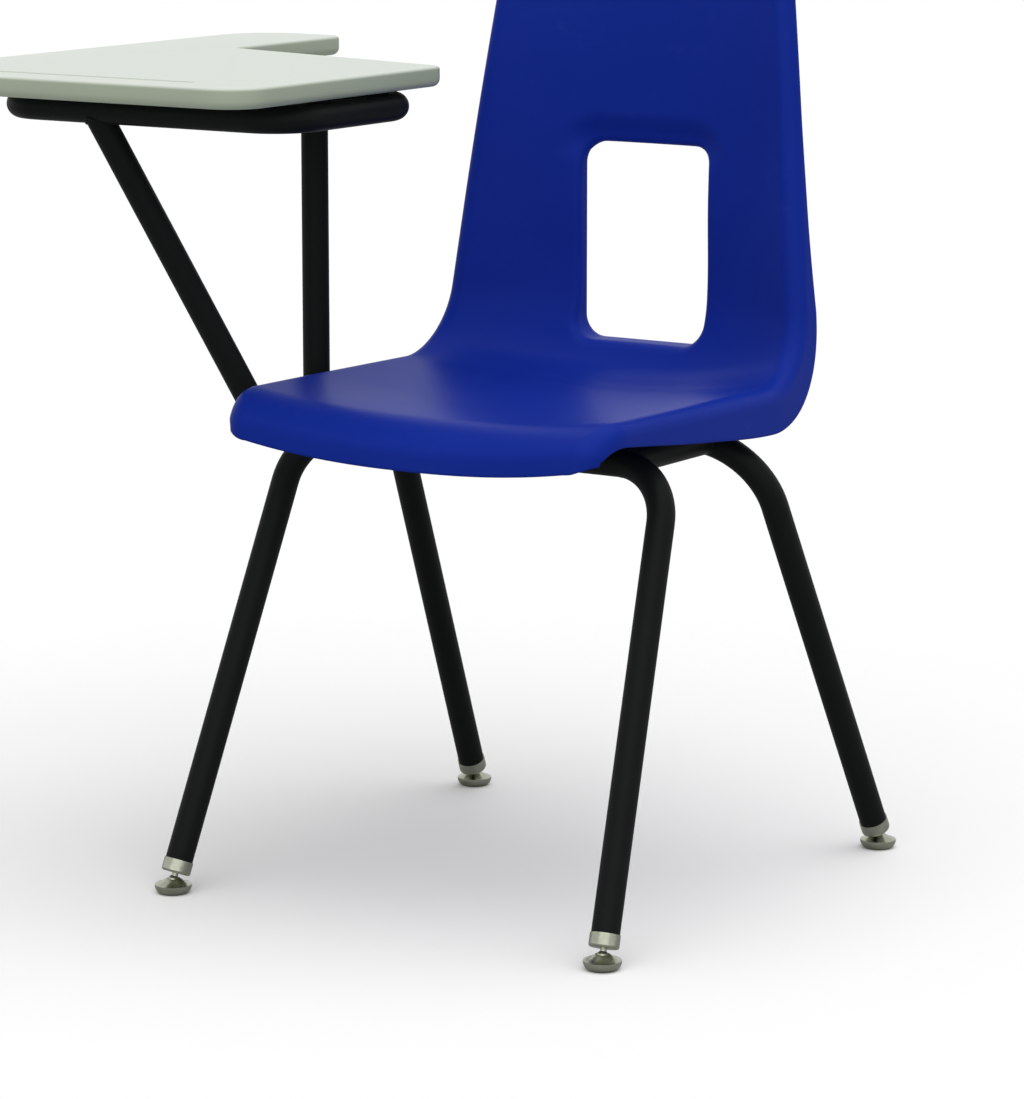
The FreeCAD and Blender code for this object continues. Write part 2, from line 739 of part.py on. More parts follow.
def ease(share):
    """A smooth step from 0 to 1."""
    share = min(max(share, 0.0), 1.0)
    return share * share * (3 - 2 * share)


def heading_vectors(heading):
    """Unit vectors along a path in the YZ plane and out of its sitter's side."""
    along = Vector(0, math.cos(heading), math.sin(heading))
    out = Vector(0, -math.sin(heading), math.cos(heading))
    return along, out


# The crest's path in the YZ plane: over the front lip, along the seat, up the back, over the top
SEAT_HEADING = -math.radians(dim.seat_fall_angle)
BACK_HEADING = math.radians(90 - dim.back_lean_angle)
seat_along, seat_out = heading_vectors(SEAT_HEADING)
back_along, back_out = heading_vectors(BACK_HEADING)
front_centre = Vector(0, dim.seat_front_y + dim.waterfall_radius, dim.crest_height - dim.waterfall_radius)
seat_start = front_centre + seat_out * dim.waterfall_radius
seat_run = (dim.seat_corner_y - seat_start.y) / seat_along.y
seat_corner = seat_start + seat_along * seat_run
corner_reach = dim.seat_back_radius * math.tan((BACK_HEADING - SEAT_HEADING) / 2)
SEAT_END = seat_run - corner_reach
bend_centre = seat_start + seat_along * SEAT_END + seat_out * dim.seat_back_radius
BACK_START = SEAT_END + dim.seat_back_radius * (BACK_HEADING - SEAT_HEADING)
back_start = seat_corner + back_along * corner_reach
back_top = dim.overall_height - dim.top_roll_radius * (1 - math.cos(BACK_HEADING))
BACK_END = BACK_START + (back_top - back_start.z) / back_along.z
top_centre = back_start + back_along * (BACK_END - BACK_START) - back_out * dim.top_roll_radius
LIP_END = -dim.waterfall_radius * (math.radians(dim.lip_angle) - SEAT_HEADING)
LIP_CORNER = LIP_END + dim.waterfall_radius * math.radians(dim.lip_corner_lift_angle)
TOP_END = BACK_END + dim.top_roll_radius * (BACK_HEADING + math.radians(dim.top_roll_end_angle))
TOP_CORNER = TOP_END - dim.top_roll_radius * math.radians(dim.top_corner_lift_angle)


def crest(place_along):
    """Point of the crest's path, its heading, and the way in which the dish sinks."""
    if place_along < 0:
        heading = SEAT_HEADING - place_along / dim.waterfall_radius
        out = heading_vectors(heading)[1]
        return front_centre + out * dim.waterfall_radius, out, seat_out
    if place_along < SEAT_END:
        return seat_start + seat_along * place_along, seat_out, seat_out
    if place_along < BACK_START:
        heading = SEAT_HEADING + (place_along - SEAT_END) / dim.seat_back_radius
        out = heading_vectors(heading)[1]
        return bend_centre - out * dim.seat_back_radius, out, out
    if place_along < BACK_END:
        return back_start + back_along * (place_along - BACK_START), back_out, back_out
    heading = BACK_HEADING - (place_along - BACK_END) / dim.top_roll_radius
    out = heading_vectors(heading)[1]
    return top_centre + out * dim.top_roll_radius, out, back_out


def station(share, start, end):
    return start + share * (end - start)


# How the cross-section changes along the path: pairs of a place and a size there
SEAT_MIDDLE = SEAT_END / 2
LOW_HEEL = station(dim.heel_share, SEAT_END, BACK_START)
HIP = station(dim.hip_share, SEAT_END, BACK_START)
LOW_BACK = station(dim.low_back_share, BACK_START, BACK_END)
MIDDLE_BACK = station(dim.middle_back_share, BACK_START, BACK_END)
HIGH_BACK = station(dim.high_back_share, BACK_START, BACK_END)
HALF_WIDTH = [
    (LIP_END, dim.lip_half_width),
    (0, dim.lip_half_width),
    (SEAT_MIDDLE, dim.seat_half_width),
    (SEAT_END, dim.seat_half_width),
    (BACK_START, dim.back_half_width_low),
    (MIDDLE_BACK, dim.back_half_width_middle),
    (BACK_END, dim.back_half_width_high),
    (TOP_END, dim.back_half_width_top),
]
FLANGE = [
    (LIP_END, dim.flange_lip),
    (0, dim.flange_front),
    (SEAT_MIDDLE, dim.flange_seat),
    (SEAT_END, dim.flange_rear),
    (LOW_HEEL, dim.flange_heel),
    (BACK_START, dim.flange_back),
    (LOW_BACK, dim.flange_low_back),
    (HIGH_BACK, dim.flange_high_back),
    (BACK_END, dim.flange_top),
    (TOP_END, dim.flange_top),
]
DISH = [
    (LIP_END, dim.dish_lip),
    (0, dim.dish_front),
    (SEAT_MIDDLE, dim.dish_seat),
    (SEAT_END, dim.dish_seat),
    (LOW_HEEL, dim.dish_low_heel),
    (HIP, dim.dish_heel),
    (BACK_START, dim.dish_low_back),
    (LOW_BACK, dim.dish_mid_back),
    (HIGH_BACK, dim.dish_high_back),
    (BACK_END, dim.dish_top),
    (TOP_END, dim.dish_top),
]
DRAFT = math.radians(dim.flange_draft_angle)
TILT_STEPS = 8


def blend(table, place_along):
    """Value of a table at a place, by cubic pieces that never overshoot the table's values."""
    last = len(table) - 1
    slopes = [(b[1] - a[1]) / (b[0] - a[0]) for a, b in zip(table, table[1:])]

    def tangent(index):
        if index in (0, last):
            return 0.0
        before, after = slopes[index - 1], slopes[index]
        return 2 * before * after / (before + after) if before * after > 0 else 0.0

    index = 0
    while index < last - 1 and place_along > table[index + 1][0]:
        index += 1
    (start, low), (end, high) = table[index], table[index + 1]
    step = end - start
    t = min(max((place_along - start) / step, 0.0), 1.0)
    return (
        low * (1 + 2 * t) * (1 - t) ** 2
        + tangent(index) * step * t * (1 - t) ** 2
        + high * t * t * (3 - 2 * t)
        + tangent(index + 1) * step * t * t * (t - 1)
    )


def roll_radius(place_along):
    """Radius of the rolled edge: small along the sides, large at the four outer corners."""
    if place_along < 0:
        return dim.crest_radius + (dim.lip_corner_radius - dim.crest_radius) * ease(place_along / LIP_END)
    share = ease((place_along - BACK_END) / (TOP_END - BACK_END))
    return dim.crest_radius + (dim.top_corner_radius - dim.crest_radius) * share


def shell_point(place_along, across):
    """A point of the sitter's side of the shell.

    across runs from 0 on the middle plane to 1 where the dish meets the rolled edge, and to 2 at
    the end of the flange; a negative value is the mirrored point. The dish rises towards the
    edge as a power of the distance, the edge is an arc tangent to it, and the flange is straight.
    """
    side = -1 if across < 0 else 1
    across = abs(across)
    origin, out, sink = crest(place_along)
    width = blend(HALF_WIDTH, place_along)
    depth = blend(FLANGE, place_along)
    dish = blend(DISH, place_along)
    radius = roll_radius(place_along)
    middle = width - radius
    tilt = 0.0
    for _ in range(TILT_STEPS):
        reach = middle - radius * math.sin(tilt)
        tilt = math.atan((dish - radius * (1 - math.cos(tilt))) * dim.dish_power_share / reach)
    drop = radius * (1 - math.cos(tilt))
    if across <= 1:
        rise = (dish - drop) * (1 - across ** dim.dish_power_share)
        return origin + Vector(side * reach * across, 0, 0) - out * drop - sink * rise
    turn = min(math.pi / 2 - DRAFT, math.acos(max(1 - depth / radius, 0.0)))
    arc = radius * (tilt + turn)
    straight = max(depth - radius * (1 - math.cos(turn)), 0.0) / math.cos(DRAFT)
    travel = (across - 1) * (arc + straight)
    angle = min(travel / radius, tilt + turn) - tilt
    beyond = max(travel - arc, 0.0)
    x = middle + radius * math.sin(angle) + beyond * math.sin(DRAFT)
    fall = radius * (1 - math.cos(angle)) + beyond * math.cos(DRAFT)
    return origin + Vector(side * x, 0, 0) - out * fall


def shell_normal(place_along, across):
    step = dim.surface_step
    share = step / dim.seat_half_width
    inside = math.copysign(1 - share, across) if abs(abs(across) - 1) < share else across
    lengthwise = shell_point(place_along + step, inside) - shell_point(place_along - step, inside)
    crosswise = shell_point(place_along, inside + share) - shell_point(place_along, inside - share)
    return crosswise.cross(lengthwise).normalize()


def spread(start, end, count):
    return [start + (end - start) * index / count for index in range(count)]


DISH_COLUMNS = 7
EDGE_COLUMNS = 8
LIP_ROWS = 7
SEAT_ROWS = 8
BEND_ROWS = 9
BACK_ROWS = 9
TOP_ROWS = 7
HALF_COLUMNS = spread(0, 1, DISH_COLUMNS) + spread(1, 2, EDGE_COLUMNS) + [2]
ACROSS = [-value for value in reversed(HALF_COLUMNS[1:])] + HALF_COLUMNS
PLAIN_ROWS = (
    spread(0, SEAT_END, SEAT_ROWS)
    + spread(SEAT_END, BACK_START, BEND_ROWS)
    + spread(BACK_START, BACK_END, BACK_ROWS)
)


def grid_row(kind, index, across):
    """Place along the path of one grid row; rows near the lip and the top lift at the corners."""
    corner = ease(abs(across) - 1)
    if kind == "lip":
        end = LIP_END + (LIP_CORNER - LIP_END) * corner
        return end * (1 - index / LIP_ROWS)
    end = TOP_END + (TOP_CORNER - TOP_END) * corner
    return BACK_END + (end - BACK_END) * index / TOP_ROWS


rows = [[grid_row("lip", index, across) for across in ACROSS] for index in range(LIP_ROWS)]
rows += [[value] * len(ACROSS) for value in PLAIN_ROWS]
rows += [[grid_row("top", index, across) for across in ACROSS] for index in range(TOP_ROWS + 1)]
sitter_side = [[shell_point(row[i], across) for i, across in enumerate(ACROSS)] for row in rows]
under_side = [
    [sitter_side[j][i] - shell_normal(row[i], across) * dim.shell_wall for i, across in enumerate(ACROSS)]
    for j, row in enumerate(rows)
]


def surface_through(points):
    surface = Part.BSplineSurface()
    surface.interpolate(points)
    return surface


def strip(first, second):
    return Part.makeRuledSurface(first.toShape(), second.toShape())


upper = surface_through(sitter_side)
lower = surface_through(under_side)
u_low, u_high, v_low, v_high = upper.bounds()
faces = [upper.toShape(), lower.toShape()]
for value in (u_low, u_high):
    faces.append(strip(upper.uIso(value), lower.uIso(value)))
for value in (v_low, v_high):
    faces.append(strip(upper.vIso(value), lower.vIso(value)))
skin = Part.makeShell(faces)
skin.sewShape()
moulding = Part.makeSolid(skin)
if moulding.Volume < 0:
    moulding.reverse()


def clear_of_sitter(solid, first, last, way):
    """Cut off what stands out on the sitter's side, within a patch of the surface.

    first and last are the patch's corners, each a place and a share across.
    """
    low_u, low_v = upper.parameter(shell_point(*first))
    high_u, high_v = upper.parameter(shell_point(*last))
    patch = upper.toShape(low_u, high_u, low_v, high_v)
    return solid.cut(patch.extrude(way * dim.cut_overrun))


def rounded_window(grow):
    """The window's outline in the XZ plane, grown outwards all round."""
    half = dim.window_half_width + grow
    low = dim.window_bottom - grow
    high = dim.window_top + grow
    radius = dim.window_corner + grow
    plate = Part.makeBox(2 * half, radius, high - low, Vector(-half, 0, low))
    edges = [edge for edge in plate.Edges if edge.BoundBox.YLength > radius / 2]
    rounded = plate.makeFillet(radius, edges)
    return min(rounded.Faces, key=lambda face: face.CenterOfMass.y).OuterWire


def prism(wire, start, end):
    block = Part.Face(wire)
    block.translate(Vector(0, start, 0))
    return block.extrude(Vector(0, end - start, 0))


# The window's return flange, then the four bosses that stand on the mounting tabs
window_middle = (dim.window_bottom + dim.window_top) / 2
middle_place = BACK_START + (window_middle - back_start.z) / back_along.z
window_front = shell_point(middle_place, 0).y
near = window_front - dim.dish_low_back
far = window_front + dim.window_rim_depth
PATCH_SHARE = 0.85
rim = clear_of_sitter(
    prism(rounded_window(dim.window_rim_wall), near, far),
    (LOW_HEEL, -PATCH_SHARE),
    (BACK_END - dim.top_roll_radius, PATCH_SHARE),
    Vector(0, -1, 0),
)
moulding = moulding.fuse(rim)
spots = []
for y in (
    dim.front_corner_y + dim.seat_hole_reach,
    dim.rear_corner_y - dim.seat_hole_reach,
):
    spots += [Vector(dim.tab_spread, y, dim.tab_top), Vector(-dim.tab_spread, y, dim.tab_top)]
for spot in spots:
    boss = clear_of_sitter(
        Part.makeCylinder(dim.boss_radius, dim.seat_rise, spot),
        (0, -PATCH_SHARE),
        (SEAT_END, PATCH_SHARE),
        Vector(0, 0, 1),
    )
    moulding = moulding.fuse(boss)
moulding = moulding.cut(prism(rounded_window(0), near, far + dim.cut_overrun))
hole_depth = dim.seat_screw_length - dim.tab_thickness + dim.screw_clearance
for spot in spots:
    moulding = moulding.cut(Part.makeCylinder(dim.screw_hole, hole_depth, spot))


def on_window_rim(edge):
    """True for an edge of the window that lies on the sitter's side."""
    middle = edge.valueAt((edge.FirstParameter + edge.LastParameter) / 2)
    if abs(middle.x) > dim.window_half_width + dim.weld_gap:
        return False
    if not dim.window_bottom - dim.weld_gap < middle.z < dim.window_top + dim.weld_gap:
        return False
    return edge.distToShape(upper.toShape())[0] < dim.surface_step


rim_edges = [edge for edge in moulding.Edges if on_window_rim(edge)]
moulding = moulding.makeFillet(dim.window_rim_round, rim_edges)
shell = doc.addObject("Part::Feature", "shell")
shell.Shape = moulding
keep(place(shell, "0", "0", "0"), "seat_shell")

doc.recompute()
for item in doc.Objects:
    if "Invalid" in item.State or "Error" in item.State:
        raise RuntimeError(f"{item.Name} did not build: {item.State}")
for item in subparts:
    if item.Shape.isNull() or not item.Shape.isValid() or not item.Shape.Solids:
        raise RuntimeError(f"{item.Label} has no sound solid")
os.makedirs("parts", exist_ok=True)
for item in subparts:
    item.Shape.exportStep(f"parts/{item.Label}.step")
print(f"{len(subparts)} sub-parts")
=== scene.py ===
# %% [markdown]
# # A classroom chair with a fixed writing tablet
# The steel frame and the glides come in as finished solids and keep their shape. This script
# gives each of them its finish, and makes the rest in mesh: the moulded seat and back with the
# bosses below it, the writing board, the weld beads, and the floor of a small photo studio. All
# lengths are in metres.

# %% Load the frame
import bpy
import json
import numpy as np
from mathutils import Matrix, Vector


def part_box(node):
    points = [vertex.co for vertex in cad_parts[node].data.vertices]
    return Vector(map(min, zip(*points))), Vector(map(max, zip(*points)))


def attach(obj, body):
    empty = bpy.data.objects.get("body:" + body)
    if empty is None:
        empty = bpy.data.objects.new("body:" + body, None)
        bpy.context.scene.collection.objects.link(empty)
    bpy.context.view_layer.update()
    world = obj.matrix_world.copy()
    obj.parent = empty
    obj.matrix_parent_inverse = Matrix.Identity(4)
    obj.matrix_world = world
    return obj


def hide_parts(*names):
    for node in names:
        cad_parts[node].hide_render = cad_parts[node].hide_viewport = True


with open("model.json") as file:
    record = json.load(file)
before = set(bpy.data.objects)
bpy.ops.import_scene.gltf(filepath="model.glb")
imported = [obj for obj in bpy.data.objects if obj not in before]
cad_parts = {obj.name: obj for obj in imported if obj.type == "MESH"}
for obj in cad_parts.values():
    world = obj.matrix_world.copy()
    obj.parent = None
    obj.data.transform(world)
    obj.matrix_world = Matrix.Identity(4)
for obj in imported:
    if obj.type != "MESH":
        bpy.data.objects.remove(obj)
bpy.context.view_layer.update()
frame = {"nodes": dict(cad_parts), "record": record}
nodes = frame["nodes"]
MM = 0.001
print(f"{len(nodes)} solids come with the frame")

# %% [markdown]
# The chair was drawn about its own middle plane, with zero depth at the front feet. The frame
# puts its origin under the middle of the whole object instead, because the board hangs out to one
# side. The front glides show both places: halfway between them is the chair's own origin.

# %% The chair's own origin
front_feet = [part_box(f"front_{side}_glide_base") for side in ("left", "right")]
foot_middles = [(low + high) / 2 for low, high in front_feet]
CHAIR = np.array((foot_middles[0] + foot_middles[1]) / 2)
CHAIR[2] = 0.0
print("the chair's origin in the frame:", CHAIR.round(4))


# %% [markdown]
# Every new shape here is a surface: a grid of points worked out by a formula and joined into
# four-sided faces. One helper turns such a grid into faces, and another puts finished arrays into
# a mesh. Points that fall on the same place are welded, so that the surface shades as one skin.

# %% From arrays to a mesh
def grid_faces(rows, columns, start=0):
    """Four-sided faces of a grid of points stored row by row, the first point numbered start.

    A face's corners are a point, the next one in its row, and the two beside them in the next row.
    """
    corner = np.arange(rows - 1)[:, None] * columns + np.arange(columns - 1) + start
    return np.stack([corner, corner + 1, corner + columns + 1, corner + columns], -1).reshape(-1, 4)


def make_piece(name, points, faces, body="chair", weld=0.01 * MM, caps=()):
    """A mesh object from arrays of points and faces and any flat caps, welded and smooth."""
    mesh = bpy.data.meshes.new(name)
    mesh.from_pydata(points.reshape(-1, 3).tolist(), [], faces.tolist() + list(caps))
    piece = bpy.data.objects.new(name, mesh)
    bpy.context.scene.collection.objects.link(piece)
    welder = piece.modifiers.new("weld", "WELD")
    welder.merge_threshold = weld
    apply_modifiers(piece)
    piece.data.polygons.foreach_set("use_smooth", np.ones(len(piece.data.polygons), bool))
    if body:
        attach(piece, body)
    print(f"{name}: {len(piece.data.vertices)} points, {len(piece.data.polygons)} faces")
    return piece


def apply_modifiers(piece):
    """Replace a piece's mesh by what its modifiers make of it."""
    bpy.context.view_layer.update()
    graph = bpy.context.evaluated_depsgraph_get()
    mesh = bpy.data.meshes.new_from_object(piece.evaluated_get(graph))
    piece.modifiers.clear()
    piece.data = mesh


# %% [markdown]
# ## The moulded seat and back
# The real shell is one injection moulding, about 5 mm thick. Seen from the side it follows one
# line: over the front lip, along the seat, up a tight bend, up the back and over a rolled top.
# Seen along that line its section is always the same idea: a shallow dish, a rolled edge, and a
# flange that hangs from the edge. So the shell is a surface of two numbers: how far along the
# line, and how far across. A cage of a few faces under a Subdivision Surface could look alike,
# but here every width and depth is a number that can be read, checked and changed. The sizes are
# the solid's, except at the lip, which gets a gentle shoulder and a steep face below it.

# %% Sizes of the shell
SEAT_CREST = 463.0 * MM
LIP_START = 82.5 * MM
SEAT_CORNER = 393.0 * MM
SEAT_FALL = np.radians(0.6)
BACK_LEAN = np.radians(5.9)
TOP = 832.0 * MM
LIP_RADIUS = 60.0 * MM
LIP_KNEE_RADIUS = 20.0 * MM
LIP_FACE = 12.0 * MM
BEND_RADIUS = 70.0 * MM
TOP_RADIUS = 22.0 * MM
LIP_KNEE = np.radians(45.0)
LIP_TURN = np.radians(84.0)
LIP_CORNER_LIFT = 8.5 * MM
TOP_END_TURN = np.radians(14.0)
TOP_CORNER_LIFT = np.radians(22.0)
EDGE_RADIUS = 14.0 * MM
LIP_CORNER_RADIUS = 24.0 * MM
TOP_CORNER_RADIUS = 45.0 * MM
DRAFT = np.radians(4.0)
DISH_POWER = 2.3
WALL = 5.0 * MM

# %% [markdown]
# First the side line, called the crest because it is the highest line of the rolled edge. It is
# three straight runs, on the lip's face, the seat and the back, and four arcs: knee, shoulder,
# bend and top. Each stretch is written as a point that moves with the distance along it, and
# numpy picks the stretch for every distance at once. A Bezier curve would be quicker to draw, but
# its bends have no radius, and those of a tool that moulds such a shell do.


# %% The crest line
def along(heading):
    """Unit vectors in the side view: the heading's cosine is the depth and its sine the height."""
    return np.stack([np.cos(heading), np.sin(heading)], -1)


def outward(heading):
    """Unit vectors a quarter turn from the heading, on the sitter's side."""
    return np.stack([-np.sin(heading), np.cos(heading)], -1)


SEAT_HEADING = -SEAT_FALL
BACK_HEADING = np.pi / 2 - BACK_LEAN
BEND_TURN = BACK_HEADING - SEAT_HEADING
lip_centre = np.array([LIP_START, SEAT_CREST - LIP_RADIUS])
seat_start = lip_centre + outward(SEAT_HEADING) * LIP_RADIUS
seat_run = (SEAT_CORNER - seat_start[0]) / along(SEAT_HEADING)[0]
seat_corner = seat_start + along(SEAT_HEADING) * seat_run
corner_reach = BEND_RADIUS * np.tan(BEND_TURN / 2)
SEAT_END = seat_run - corner_reach
bend_centre = seat_start + along(SEAT_HEADING) * SEAT_END + outward(SEAT_HEADING) * BEND_RADIUS
BACK_START = SEAT_END + BEND_RADIUS * BEND_TURN
back_start = seat_corner + along(BACK_HEADING) * corner_reach
back_top = TOP - TOP_RADIUS * (1 - np.cos(BACK_HEADING))
BACK_END = BACK_START + (back_top - back_start[1]) / along(BACK_HEADING)[1]
top_centre = (
    back_start
    + along(BACK_HEADING) * (BACK_END - BACK_START)
    - outward(BACK_HEADING) * TOP_RADIUS
)
LIP_SHOULDER = -LIP_RADIUS * (LIP_KNEE - SEAT_HEADING)
knee_centre = lip_centre + outward(LIP_KNEE) * (LIP_RADIUS - LIP_KNEE_RADIUS)
LIP_BEND = LIP_SHOULDER - LIP_KNEE_RADIUS * (LIP_TURN - LIP_KNEE)
lip_bend_end = knee_centre + outward(LIP_TURN) * LIP_KNEE_RADIUS
LIP_END = LIP_BEND - LIP_FACE
LIP_CORNER = LIP_END + LIP_CORNER_LIFT
TOP_END = BACK_END + TOP_RADIUS * (BACK_HEADING + TOP_END_TURN)
TOP_CORNER = TOP_END - TOP_RADIUS * TOP_CORNER_LIFT
print(f"the crest line is {TOP_END - LIP_END:.3f} m long")


def crest(place):
    """Point of the crest line, the way out of the surface, and the way in which the dish sinks.

    A straight run is its start plus the heading times the distance, and an arc is its centre plus
    the way out times its radius.
    """
    limits = [LIP_BEND, LIP_SHOULDER, 0, SEAT_END, BACK_START, BACK_END]
    stretch = [place < limit for limit in limits]
    heading = np.select(
        stretch,
        [
            np.full_like(place, LIP_TURN),
            LIP_KNEE - (place - LIP_SHOULDER) / LIP_KNEE_RADIUS,
            SEAT_HEADING - place / LIP_RADIUS,
            np.full_like(place, SEAT_HEADING),
            SEAT_HEADING + (place - SEAT_END) / BEND_RADIUS,
            np.full_like(place, BACK_HEADING),
        ],
        BACK_HEADING - (place - BACK_END) / TOP_RADIUS,
    )
    out = outward(heading)
    stretch = [part[..., None] for part in stretch]
    distance = place[..., None]
    point = np.select(
        stretch,
        [
            lip_bend_end + along(LIP_TURN) * (distance - LIP_BEND),
            knee_centre + out * LIP_KNEE_RADIUS,
            lip_centre + out * LIP_RADIUS,
            seat_start + along(SEAT_HEADING) * distance,
            bend_centre - out * BEND_RADIUS,
            back_start + along(BACK_HEADING) * (distance - BACK_START),
        ],
        top_centre + out * TOP_RADIUS,
    )
    sink_heading = np.clip(heading, SEAT_HEADING, BACK_HEADING)
    sink_heading = np.where(place < 0, SEAT_HEADING, sink_heading)
    sink_heading = np.where(place > BACK_START, BACK_HEADING, sink_heading)
    return point, out, outward(sink_heading)


# %% [markdown]
# The section changes along the line: the back narrows, the flange is deepest at the heel of the
# seat, and the dish is deepest in the lower back. Each of these is a short table of a place and a
# size, and a smooth curve runs through the table without ever overshooting it. A plain cubic
# curve would swell between two near entries, and that shows as a ripple in the shine.

# %% Tables along the crest
STATION = {
    "lip": LIP_END,
    "front": 0.0,
    "seat": SEAT_END / 2,
    "heel": SEAT_END,
    "low_heel": SEAT_END + 0.25 * (BACK_START - SEAT_END),
    "hip": SEAT_END + 0.6 * (BACK_START - SEAT_END),
    "back": BACK_START,
    "low_back": BACK_START + 0.33 * (BACK_END - BACK_START),
    "middle_back": BACK_START + 0.5 * (BACK_END - BACK_START),
    "high_back": BACK_START + 0.66 * (BACK_END - BACK_START),
    "top": BACK_END,
    "end": TOP_END,
}
HALF_WIDTH = {
    "lip": 197.5,
    "front": 205.0,
    "seat": 207.0,
    "heel": 207.0,
    "back": 196.0,
    "middle_back": 180.0,
    "top": 161.0,
    "end": 155.5,
}
FLANGE = {
    "lip": 15.5,
    "front": 21.0,
    "seat": 32.5,
    "heel": 40.5,
    "low_heel": 39.5,
    "back": 27.0,
    "low_back": 17.5,
    "high_back": 14.0,
    "top": 14.0,
    "end": 14.0,
}
DISH = {
    "lip": 12.5,
    "front": 12.0,
    "seat": 15.0,
    "heel": 15.0,
    "low_heel": 21.0,
    "hip": 40.0,
    "back": 43.0,
    "low_back": 33.0,
    "high_back": 27.0,
    "top": 21.0,
    "end": 21.0,
}
print(f"{len(STATION)} stations along the crest line carry the tables")


def table_value(table, place):
    """A smooth curve through a table of millimetres: cubic pieces whose slope at each entry is the
    harmonic mean of the slopes beside it, or zero where they have different signs."""
    spots = np.array([STATION[key] for key in table])
    sizes = np.array(list(table.values())) * MM
    slopes = np.diff(sizes) / np.diff(spots)
    before, after = slopes[:-1], slopes[1:]
    product = before * after
    total = np.where(product > 0, before + after, 1.0)
    inner = np.where(product > 0, 2 * product / total, 0.0)
    tangents = np.concatenate([[0.0], inner, [0.0]])
    index = np.clip(np.searchsorted(spots, place) - 1, 0, len(spots) - 2)
    step = spots[index + 1] - spots[index]
    t = np.clip((place - spots[index]) / step, 0, 1)
    return (
        sizes[index] * (1 + 2 * t) * (1 - t) ** 2
        + tangents[index] * step * t * (1 - t) ** 2
        + sizes[index + 1] * t * t * (3 - 2 * t)
        + tangents[index + 1] * step * t * t * (t - 1)
    )


def ease(share):
    """A smooth step from 0 to 1: three times the share's square less twice its cube."""
    share = np.clip(share, 0, 1)
    return share * share * (3 - 2 * share)


# %% [markdown]
# Now the surface itself. Across the dish the height rises with a power of the distance from the
# middle, then an arc of the edge's radius carries on from the dish without a crease, and a
# straight flange follows the arc. The angle at which dish and arc meet has no formula of its own,
# so a few rounds of the same step find it for every place together.

# %% The shell's surface
TILT_STEPS = 8


def edge_radius(place):
    """Radius of the rolled edge: one size along the sides, which grows to another towards the end
    of the lip and to a third towards the end of the top, by an eased share of the way."""
    lip = EDGE_RADIUS + (LIP_CORNER_RADIUS - EDGE_RADIUS) * ease(place / LIP_END)
    top_share = (place - BACK_END) / (TOP_END - BACK_END)
    top = EDGE_RADIUS + (TOP_CORNER_RADIUS - EDGE_RADIUS) * ease(top_share)
    return np.where(place < 0, lip, top)


def shell_point(place, across):
    """Points of the sitter's side, in the chair's own frame.

    across is 0 on the middle plane, 1 where the dish meets the rolled edge and 2 at the end of the
    flange, and negative on the other side. The dish sinks by its depth times one less a power of
    the share. The edge goes out by its radius times the sine of the angle and falls by the radius
    times one less the cosine. The flange goes straight on at the draft angle.
    """
    place, across = np.broadcast_arrays(np.asarray(place, float), np.asarray(across, float))
    side = np.where(across < 0, -1.0, 1.0)
    share = np.abs(across)
    origin, out, sink = crest(place)
    width = table_value(HALF_WIDTH, place)
    depth = table_value(FLANGE, place)
    dish = table_value(DISH, place)
    radius = edge_radius(place)
    middle = width - radius
    tilt = np.zeros_like(place)
    for _ in range(TILT_STEPS):
        reach = middle - radius * np.sin(tilt)
        tilt = np.arctan((dish - radius * (1 - np.cos(tilt))) * DISH_POWER / reach)
    drop = radius * (1 - np.cos(tilt))
    rise = (dish - drop) * (1 - np.minimum(share, 1) ** DISH_POWER)
    turn = np.minimum(np.pi / 2 - DRAFT, np.arccos(np.maximum(1 - depth / radius, 0)))
    arc = radius * (tilt + turn)
    straight = np.maximum(depth - radius * (1 - np.cos(turn)), 0) / np.cos(DRAFT)
    travel = np.maximum(share - 1, 0) * (arc + straight)
    angle = np.minimum(travel / radius, tilt + turn) - tilt
    beyond = np.maximum(travel - arc, 0)
    in_dish = share <= 1
    x = np.where(in_dish, reach * share, middle + radius * np.sin(angle) + beyond * np.sin(DRAFT))
    fall = np.where(in_dish, drop, radius * (1 - np.cos(angle)) + beyond * np.cos(DRAFT))
    section = origin - out * fall[..., None] - sink * np.where(in_dish, rise, 0)[..., None]
    return np.concatenate([(side * x)[..., None], section], -1)


# %% [markdown]
# The grid follows the shape: many rows where the line bends, few where it is straight, and
# columns that crowd into the rolled edge. Even rows all over would take several times as many
# faces for the same roundness. At the lip and at the top the last rows draw in towards the
# corners, which rounds off the shell's outline there.

# %% The shell's grid
DISH_COLUMNS = 36
EDGE_COLUMNS = 24
LIP_ROWS = 26
SEAT_ROWS = 40
BEND_ROWS = 34
BACK_ROWS = 72
TOP_ROWS = 24

half = np.concatenate([
    np.linspace(0, 1, DISH_COLUMNS, endpoint=False), np.linspace(1, 2, EDGE_COLUMNS + 1)
])
across = np.concatenate([-half[:0:-1], half])
corner = ease(np.abs(across) - 1)
lip_end = LIP_END + (LIP_CORNER - LIP_END) * corner
top_end = TOP_END + (TOP_CORNER - TOP_END) * corner
plain = np.concatenate([
    np.linspace(0, SEAT_END, SEAT_ROWS, endpoint=False),
    np.linspace(SEAT_END, BACK_START, BEND_ROWS, endpoint=False),
    np.linspace(BACK_START, BACK_END, BACK_ROWS, endpoint=False),
])
lip_share = np.linspace(1, 0, LIP_ROWS, endpoint=False)[:, None]
top_share = np.linspace(0, 1, TOP_ROWS)[:, None]
places = np.concatenate([
    lip_share * lip_end,
    np.repeat(plain[:, None], len(across), 1),
    BACK_END + top_share * (top_end - BACK_END),
])
acrosses = np.broadcast_to(across, places.shape)
print(f"the shell's grid has {places.shape[0]} rows and {places.shape[1]} columns")

